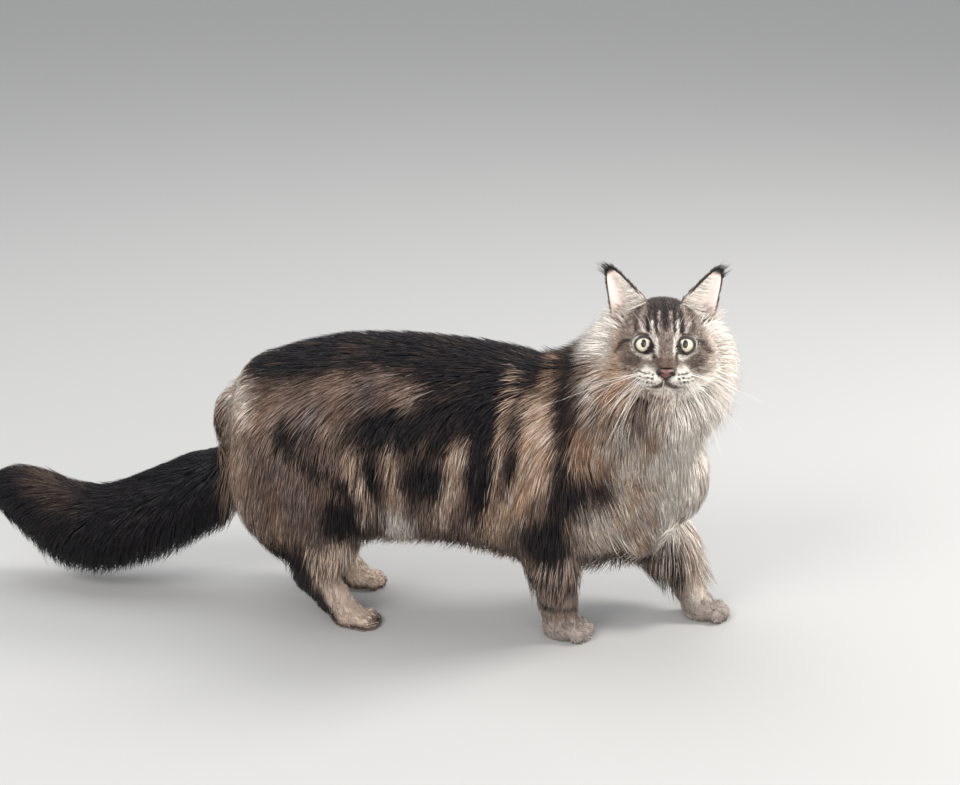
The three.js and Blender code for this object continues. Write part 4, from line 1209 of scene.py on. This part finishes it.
def eye_material():
    material, tree, inputs = new_material("eye", 0.35)

    def ramp(name, stops):
        node = tree.nodes.new("ShaderNodeValToRGB")
        node.color_ramp.elements.remove(node.color_ramp.elements[0])
        node.color_ramp.elements[0].position = stops[0][0]
        node.color_ramp.elements[0].color = (*stops[0][1], 1)
        for place, color in stops[1:]:
            node.color_ramp.elements.new(place).color = (*color, 1)
        tree.links.new(attribute(tree, name), node.inputs[0])
        return node.outputs[0]

    pupil = ramp("pupil", [(0.0, (1, 1, 1)), (0.33, (1, 1, 1)), (0.37, (0, 0, 0))])
    streaks = calculated(tree, "MULTIPLY", noise(tree, 900.0).outputs[0], 0.35)
    color = mixed(tree, streaks, ramp("iris", IRIS), (0.13, 0.105, 0.06))
    color = mixed(tree, pupil, color, (0.003, 0.003, 0.003))
    tree.links.new(color, inputs["Base Color"])
    inputs["Specular IOR Level"].default_value = 0.2
    inputs["Coat Weight"].default_value = 0.55
    inputs["Coat Roughness"].default_value = 0.03
    return material


def leather_material():
    """The nose's skin, nearly black round its edge."""
    material, tree, inputs = new_material("nose_leather", 0.45)
    edge = calculated(tree, "MULTIPLY", attribute(tree, "edge"), 2.0)
    color = mixed(tree, edge, (0.115, 0.045, 0.04), (0.014, 0.008, 0.009))
    tree.links.new(color, inputs["Base Color"])
    return material


EYE_MATERIAL = eye_material()
RIM_MATERIAL = simple("eye_rim", (0.012, 0.009, 0.009), 0.42)
LEATHER = leather_material()


def almond(turn, scale=1.0):
    """The opening between the lids, outwards and up, for angles round it: nearly round, with a
    small point at the inner corner and a smaller one outside."""
    inner = np.exp(-(((turn - math.pi - 0.35) / 0.3) ** 2))
    past = np.abs(turn - 0.12)
    outer = np.exp(-((np.minimum(past, 2 * math.pi - past) / 0.3) ** 2))
    a = np.cos(turn) * (OPENING[0] * scale + 0.8 * inner + 0.5 * outer)
    u = np.sin(turn) * (OPENING[1] * scale + 1.2 * inner) - 0.7 * np.maximum(np.sin(turn), 0) ** 4
    return a + 0.5, u


def ring_tube(name, points, radius, normals):
    """A closed ring with a round section along points in the head's frame."""
    sides = 8
    ahead = unit(np.roll(points, -1, 0) - np.roll(points, 1, 0))
    over = unit(normals - ahead * (normals * ahead).sum(1)[:, None])
    side = np.cross(ahead, over)
    turn = np.linspace(0, 2 * math.pi, sides, endpoint=False)[None, :, None]
    verts = points[:, None] + radius * (np.cos(turn) * side[:, None] + np.sin(turn) * over[:, None])
    faces = grid_faces(len(points), sides, True)[:, (0, 3, 2, 1)]
    obj = mesh_object(name, from_head(verts.reshape(-1, 3)), faces)
    obj.data.materials.append(RIM_MATERIAL)
    return obj


# The lids' section: how wide each ring is against the opening, and its radius from the eye's middle
LID_RINGS = ((1.0, 12.45), (1.0, 12.95), (1.1, 13.15), (1.22, 12.9), (1.34, 12.3), (1.2, 12.15))
RIM_RADIUS = 12.7


def eyelids(side, word):
    """A band of skin on the eyeball round the almond opening, closed front to back."""
    turn = np.linspace(0, 2 * math.pi, 72, endpoint=False)
    eye = EYE * (1, side, 1)
    rings = []
    for scale, radius in LID_RINGS:
        a, u = almond(turn, scale)
        a, u = np.clip(a, -12.5, 12.5), np.clip(u, -12, 12)
        f = np.sqrt(np.maximum(radius**2 - a * a - u * u, 0.5))
        rings.append(eye + np.stack([f, a * side, u], 1))
    verts = np.concatenate(rings)
    faces = grid_faces(len(rings), len(turn), True)
    if side < 0:
        faces = faces[:, ::-1]
    color = face_marks(verts)
    color[: 2 * len(turn)] = (1.0, 0.0, 0.0)
    obj = mesh_object(f"eyelids_{word}", from_head(verts), faces, fur_values(color, 0.3, 0.7))
    obj.data.materials.append(SKIN)
    a, u = almond(turn)
    line = eye + np.stack([np.sqrt(RIM_RADIUS**2 - a * a - u * u), a * side, u], 1)
    return obj, ring_tube(f"eye_rim_{word}", line, 0.85, line - eye)


for side, word in ((-1, "right"), (1, "left")):
    ball_object = eyeball(side, word)
    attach(ball_object, "root")
    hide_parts(f"eye_{word}")
    for piece in eyelids(side, word):
        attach(piece, "root")

# Nose


def nose_shape(q):
    d = nose_field(q)
    for side in (-1, 1):
        hole = ball((NOSE[0] + 1.2, 4.6 * side, NOSE[1] + 0.8), (3.4, 1.9, 1.4), q)
        slit = ball((NOSE[0] - 1, 7.0 * side, NOSE[1] - 0.6), (3.0, 1.8, 0.8), q)
        d = np.maximum(d, -blend(hole, slit, 1.5))
    groove = to_line(q, [(NOSE[0] + 3.2, 0, NOSE[1] + 1), (NOSE[0] + 1, 0, NOSE[1] - 8)])
    return np.maximum(d, 0.5 - groove)


nose_verts, nose_faces = surface(nose_shape, (60, -13, -38), (84, 13, -15), 0.55, 1)
aside, up = np.abs(nose_verts[:, 1]), nose_verts[:, 2] - NOSE[1]
edge = np.maximum(smooth(4.2, 7.4, aside), smooth(-2.5, -5.5, up))
edge = np.maximum(edge, smooth(4.2, 6.0, up))
nose = mesh_object("nose_pad", from_head(nose_verts), nose_faces, {"edge": edge})
nose.data.materials.append(LEATHER)
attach(nose, "root")
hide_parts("nose")

# Ears


def ear_axes(side):
    """Up the ear, forward out of its cup, and across it."""
    along = unit((EAR_TIP - EAR_BASE) * (1, side, 1))
    way = np.array((0.9, 0.42 * side, 0))
    way = unit(way - along * (way @ along))
    return along, way, np.cross(along, way)


def ear_point(side, share, turn):
    """A point of the ear's shell: share up it, turn round it. Its cup is the half over 0 to pi."""
    along, way, across = ear_axes(side)
    tall = np.linalg.norm(EAR_TIP - EAR_BASE)
    swell = np.minimum(1, share * 5) * np.sqrt(np.maximum(1 - share, 0)) * (1.12 - share * 0.3)
    wide = EAR["width"] * swell
    wall = np.minimum(EAR["wall"] * 0.7, wide * 0.4)
    deep = EAR["depth"] * swell * (1 - share * 0.35)
    round_it = np.abs(np.sin(turn))
    hollow = np.where(np.sin(turn) < -1e-6, -round_it * (deep + wall), -round_it * deep)
    height = -14 + (tall + 14) * share
    return (
        EAR_BASE * (1, side, 1)
        + along * height[..., None]
        + across * (np.cos(turn) * wide)[..., None]
        + way * (hollow + deep * 0.6)[..., None]
    )


def ear_mesh(side, word):
    rows, columns = 40, 56
    share = 1 - np.arange(rows + 1) / rows
    turn = np.linspace(math.pi, -math.pi, columns, endpoint=False)
    grid_s, grid_t = np.meshgrid(share, turn, indexing="ij")
    verts = ear_point(side, grid_s, grid_t).reshape(-1, 3)
    share, turn = grid_s.ravel(), grid_t.ravel()
    cup = smooth(0.04, 0.2, np.sin(turn)) * (1 - smooth(0.88, 0.97, share))
    dark = (0.15 + 0.7 * smooth(0.2, 0.5, share)) * (1 - cup) + 0.06 * cup
    pale = np.maximum(cup * 0.9, 0.5 * smooth(0.4, 0.2, share))
    values = fur_values(np.stack([dark, 0.3 + 0.1 * cup, pale], 1), 0.3, 0.6)
    values["pink"] = cup
    obj = mesh_object(f"ear_shell_{word}", from_head(verts), grid_faces(rows, columns), values)
    obj.data.materials.append(EAR_MATERIAL)
    return obj


def ear_material():
    material = fur_material("ear_skin", 0.3)
    tree = material.node_tree
    inputs = tree.nodes["Principled BSDF"].inputs
    share = calculated(tree, "MULTIPLY", attribute(tree, "pink"), 0.6)
    color = mixed(tree, share, inputs["Base Color"].links[0].from_socket, (0.86, 0.66, 0.63))
    tree.links.new(color, inputs["Base Color"])
    inputs["Subsurface Weight"].default_value = 0.12
    inputs["Subsurface Radius"].default_value = (0.004, 0.002, 0.0015)
    return material


EAR_MATERIAL = ear_material()


def strands(name, paths, widths, color, flat=0.5, tint=None):
    """Tapered solids along given paths in the head's frame: an array of n, k, 3."""
    count, rings = paths.shape[:2]
    ahead = unit(np.gradient(paths, axis=1))
    side = unit(np.cross(ahead, np.array((1.0, 0.1, 0.3))))
    over = np.cross(side, ahead)
    shares = np.linspace(0, 1, rings)
    half = widths[:, None] / 2 * (1 - shares[None, :-1] ** 1.6 * 0.85)
    verts = np.empty((count, 3 * rings - 2, 3))
    for j, (c, s) in enumerate(CORNERS):
        offset = side[:, :-1] * c + over[:, :-1] * s * flat
        verts[:, j:-1:3] = paths[:, :-1] + offset * half[..., None]
    verts[:, -1] = paths[:, -1]
    tint = rng.random(count) if tint is None else tint
    # least 0.4 keeps most of the painted root shade off these hairs
    return prisms(name, from_head(verts), from_head(paths[:, 0]), shares, color, tint, 0.4)


def curved(start, way, length, bend, rings=4):
    t = np.linspace(0, 1, rings)[None, :, None]
    return start[:, None] + way[:, None] * length[:, None, None] * t + bend[:, None] * t**2


def ear_hair(side, word):
    along, way, across = ear_axes(side)
    outer = across[1] * side > 0
    outward = across if outer else -across
    groups = []

    def draw(low, high):
        return rng.uniform(low, high, count)

    def each(low, high):
        return draw(low, high)[:, None]

    def grow(start, lay, length, width, color, bend=0.0):
        paths = curved(start, unit(lay), length, bend + 0 * lay)
        color = np.stack([value + np.zeros(count) for value in color], 1)
        groups.append((paths, width + np.zeros(count), color))

    # long pale hairs across the cup, from its inner edge outwards
    count = 420
    share = draw(0.1, 0.84)
    turn = draw(0.02, 0.5)
    start = ear_point(side, share, math.pi - turn if outer else turn)
    length = (30 * (1 - share) + 5) * draw(0.5, 1.1)
    lay = outward + 0.22 * way + along * each(-0.05, 0.35)
    bend = along * each(0, 5) - way * each(0, 3)
    grow(start, lay, length, draw(0.4, 0.7), (0.02, 0.15, 0.95), bend)
    # short hair along both rims, paler low down
    count = 300
    share = draw(0.08, 0.97)
    edge = np.where(rng.random(count) < 0.5, 0.0, math.pi)
    start = ear_point(side, share, edge + draw(-0.25, 0.25))
    lean = np.cos(edge)[:, None] * across
    lay = along * 0.9 + lean * 0.3 + way * each(-0.3, 0.3)
    dark = 0.3 + 0.65 * smooth(0.2, 0.6, share)
    grow(start, lay, draw(2.5, 5), draw(0.4, 0.6), (dark, 0.2, 0.05))
    # the back of the ear
    count = 900
    share = draw(0.1, 0.96)
    start = ear_point(side, share, -draw(0.05, math.pi - 0.05))
    lay = along - 0.25 * way + rng.normal(0, 0.08, (count, 3))
    grow(start, lay, draw(5, 9), 0.9, (0.6 + 0.35 * share, 0.35, 0.1))
    # the tuft at the tip
    count = 90
    start = ear_point(side, draw(0.86, 0.985), draw(0, 2 * math.pi))
    lay = along + outward * 0.25 - way * 0.15 + rng.normal(0, 0.1, (count, 3))
    length = draw(7, 16)
    grow(start, lay, length, 0.55, (0.98, 0.1, 0.0), outward * length[:, None] * 0.3)
    # hair that fills the foot of the cup
    count = 260
    start = ear_point(side, draw(0.1, 0.3), draw(0.1, math.pi - 0.1))
    lay = along * 0.8 + way * 0.5 + outward * each(-0.3, 0.5)
    length = draw(8, 18)
    grow(start, lay, length, 0.8, (0.08, 0.35, 0.75), outward * length[:, None] * 0.2)
    paths, widths, colors = (np.concatenate([g[k] for g in groups]) for k in range(3))
    return strands(f"ear_hair_{word}", paths, widths, colors)


for side, word in ((-1, "right"), (1, "left")):
    shell = ear_mesh(side, word)
    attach(shell, "root")
    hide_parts(f"ear_{word}")
    hair = ear_hair(side, word)
    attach(hair, "root")

# Whiskers: long white hairs from the pads, a few over the eyes


def whiskers():
    paths, widths = [], []
    t = np.linspace(0, 1, 12)[:, None]
    for side in (-1, 1):
        for row in range(3):
            for k in range(4):
                aside = whisker_spot(row, k)[0] * 0.6
                start = np.array([(45.0, aside, -26.5 - 4.6 * row + 0.5 * k)])
                start = out_of(head_forms, start, np.array([(0.92, 0.39, 0.0)]), 40)[0]
                start = start * (1, side, 1) - np.array((1.5, 0, 0))
                droop = 0.05 + 0.4 * row + 0.1 * k + rng.uniform(-0.1, 0.1)
                way = unit(np.array((0.30 - 0.16 * k, (0.95 - 0.16 * row) * side, -droop)))
                length = (54 + 9 * k) * rng.uniform(0.6, 1.25)
                bend = np.array((-12.0, 3.0 * side, -10.0 - 8 * row)) * rng.uniform(0.6, 1.4)
                paths.append(start + way * length * t + bend * t**2)
                widths.append(0.42)
        for k in range(3):
            start = np.array((34.0 - k * 1.5, (15 + 4 * k) * side, 17.0 + k * 0.6))
            way = np.array((0.45, (0.1 + 0.14 * k) * side, 0.9))
            bend = np.array((-10.0, (4 + 3 * k) * side, -4.0))
            paths.append(start + way * (22 + 3 * k) * t + bend * t**2)
            widths.append(0.26)
    color = np.tile((0.0, 0.05, 1.0), (len(paths), 1))
    obj = strands("whiskers", np.array(paths), np.array(widths), color, 1.0, np.zeros(len(paths)))
    obj.data.materials.clear()
    obj.data.materials.append(simple("whisker", (0.9, 0.88, 0.85), 0.35))
    return obj


whisker_object = whiskers()
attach(whisker_object, "root")

# The skin stands for the flesh
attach(skin, "root")
flesh = [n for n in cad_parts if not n.startswith(("eye_", "ear_")) and n != "nose"]
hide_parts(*flesh)

# Floor, light and camera


FLOOR = 9.0


def floor():
    """A square floor, of which FLOOR is half the side in metres."""
    corners = [(a * FLOOR, b * FLOOR, 0) for a, b in ((-1, -1), (1, -1), (1, 1), (-1, 1))]
    mesh = bpy.data.meshes.new("floor")
    mesh.from_pydata(corners, [], [(0, 1, 2, 3)])
    obj = bpy.data.objects.new("floor", mesh)
    bpy.context.scene.collection.objects.link(obj)
    mesh.materials.append(simple("floor_paint", (0.30, 0.30, 0.297), 0.85))
    obj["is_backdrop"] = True


def light(name, place, target, size, power, color):
    data = bpy.data.lights.new(name, "AREA")
    data.shape = "DISK"
    data.size = size
    data.energy = power
    data.color = color
    obj = bpy.data.objects.new(name, data)
    bpy.context.scene.collection.objects.link(obj)
    obj.location = place
    obj.rotation_mode = "QUATERNION"
    obj.rotation_quaternion = (Vector(target) - Vector(place)).to_track_quat("-Z", "Y")


floor()
# Places and sizes are in metres, power in watts
light("key", (-1.0, -2.2, 2.3), (0, 0, 0.2), 1.3, 78, (1.0, 0.965, 0.92))
light("sun_side", (2.2, 0.6, 1.9), (0.25, 0, 0.25), 0.8, 88, (1.0, 0.965, 0.91))
light("fill", (1.4, -2.6, 1.0), (0, 0, 0.2), 2.4, 52, (1.0, 0.985, 0.96))
light("top", (-0.3, 0.5, 3.0), (0, 0, 0.2), 2.4, 52, (0.95, 0.975, 1.0))
world = bpy.data.worlds.new("studio")
world.use_nodes = True
sky = world.node_tree.nodes["Background"].inputs
sky["Color"].default_value = (0.97, 0.975, 1.0, 1)
sky["Strength"].default_value = 0.95
bpy.context.scene.world = world
bpy.context.scene.view_settings.view_transform = "Standard"

# The camera: its heading and height as angles, and the point it looks at, in the cat's frame
AZIMUTH, ELEVATION, DISTANCE = math.radians(10), math.radians(20), 2000.0
LOOK_AT = (70, 40, 262)
level = math.cos(ELEVATION)
back = Vector((math.sin(AZIMUTH) * level, -math.cos(AZIMUTH) * level, math.sin(ELEVATION)))
camera_data = bpy.data.cameras.new("camera")
camera = bpy.data.objects.new("camera", camera_data)
bpy.context.scene.collection.objects.link(camera)
camera_data.lens = 65.217
camera_data.sensor_width = 36.0
camera_data.sensor_fit = "HORIZONTAL"
camera.location = Vector(metres(LOOK_AT)) + back * DISTANCE / 1000
camera.rotation_mode = "QUATERNION"
camera.rotation_quaternion = (-back).to_track_quat("-Z", "Y")
camera_data.clip_start, camera_data.clip_end = 0.05, 50
bpy.context.scene.camera = camera

low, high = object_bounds()
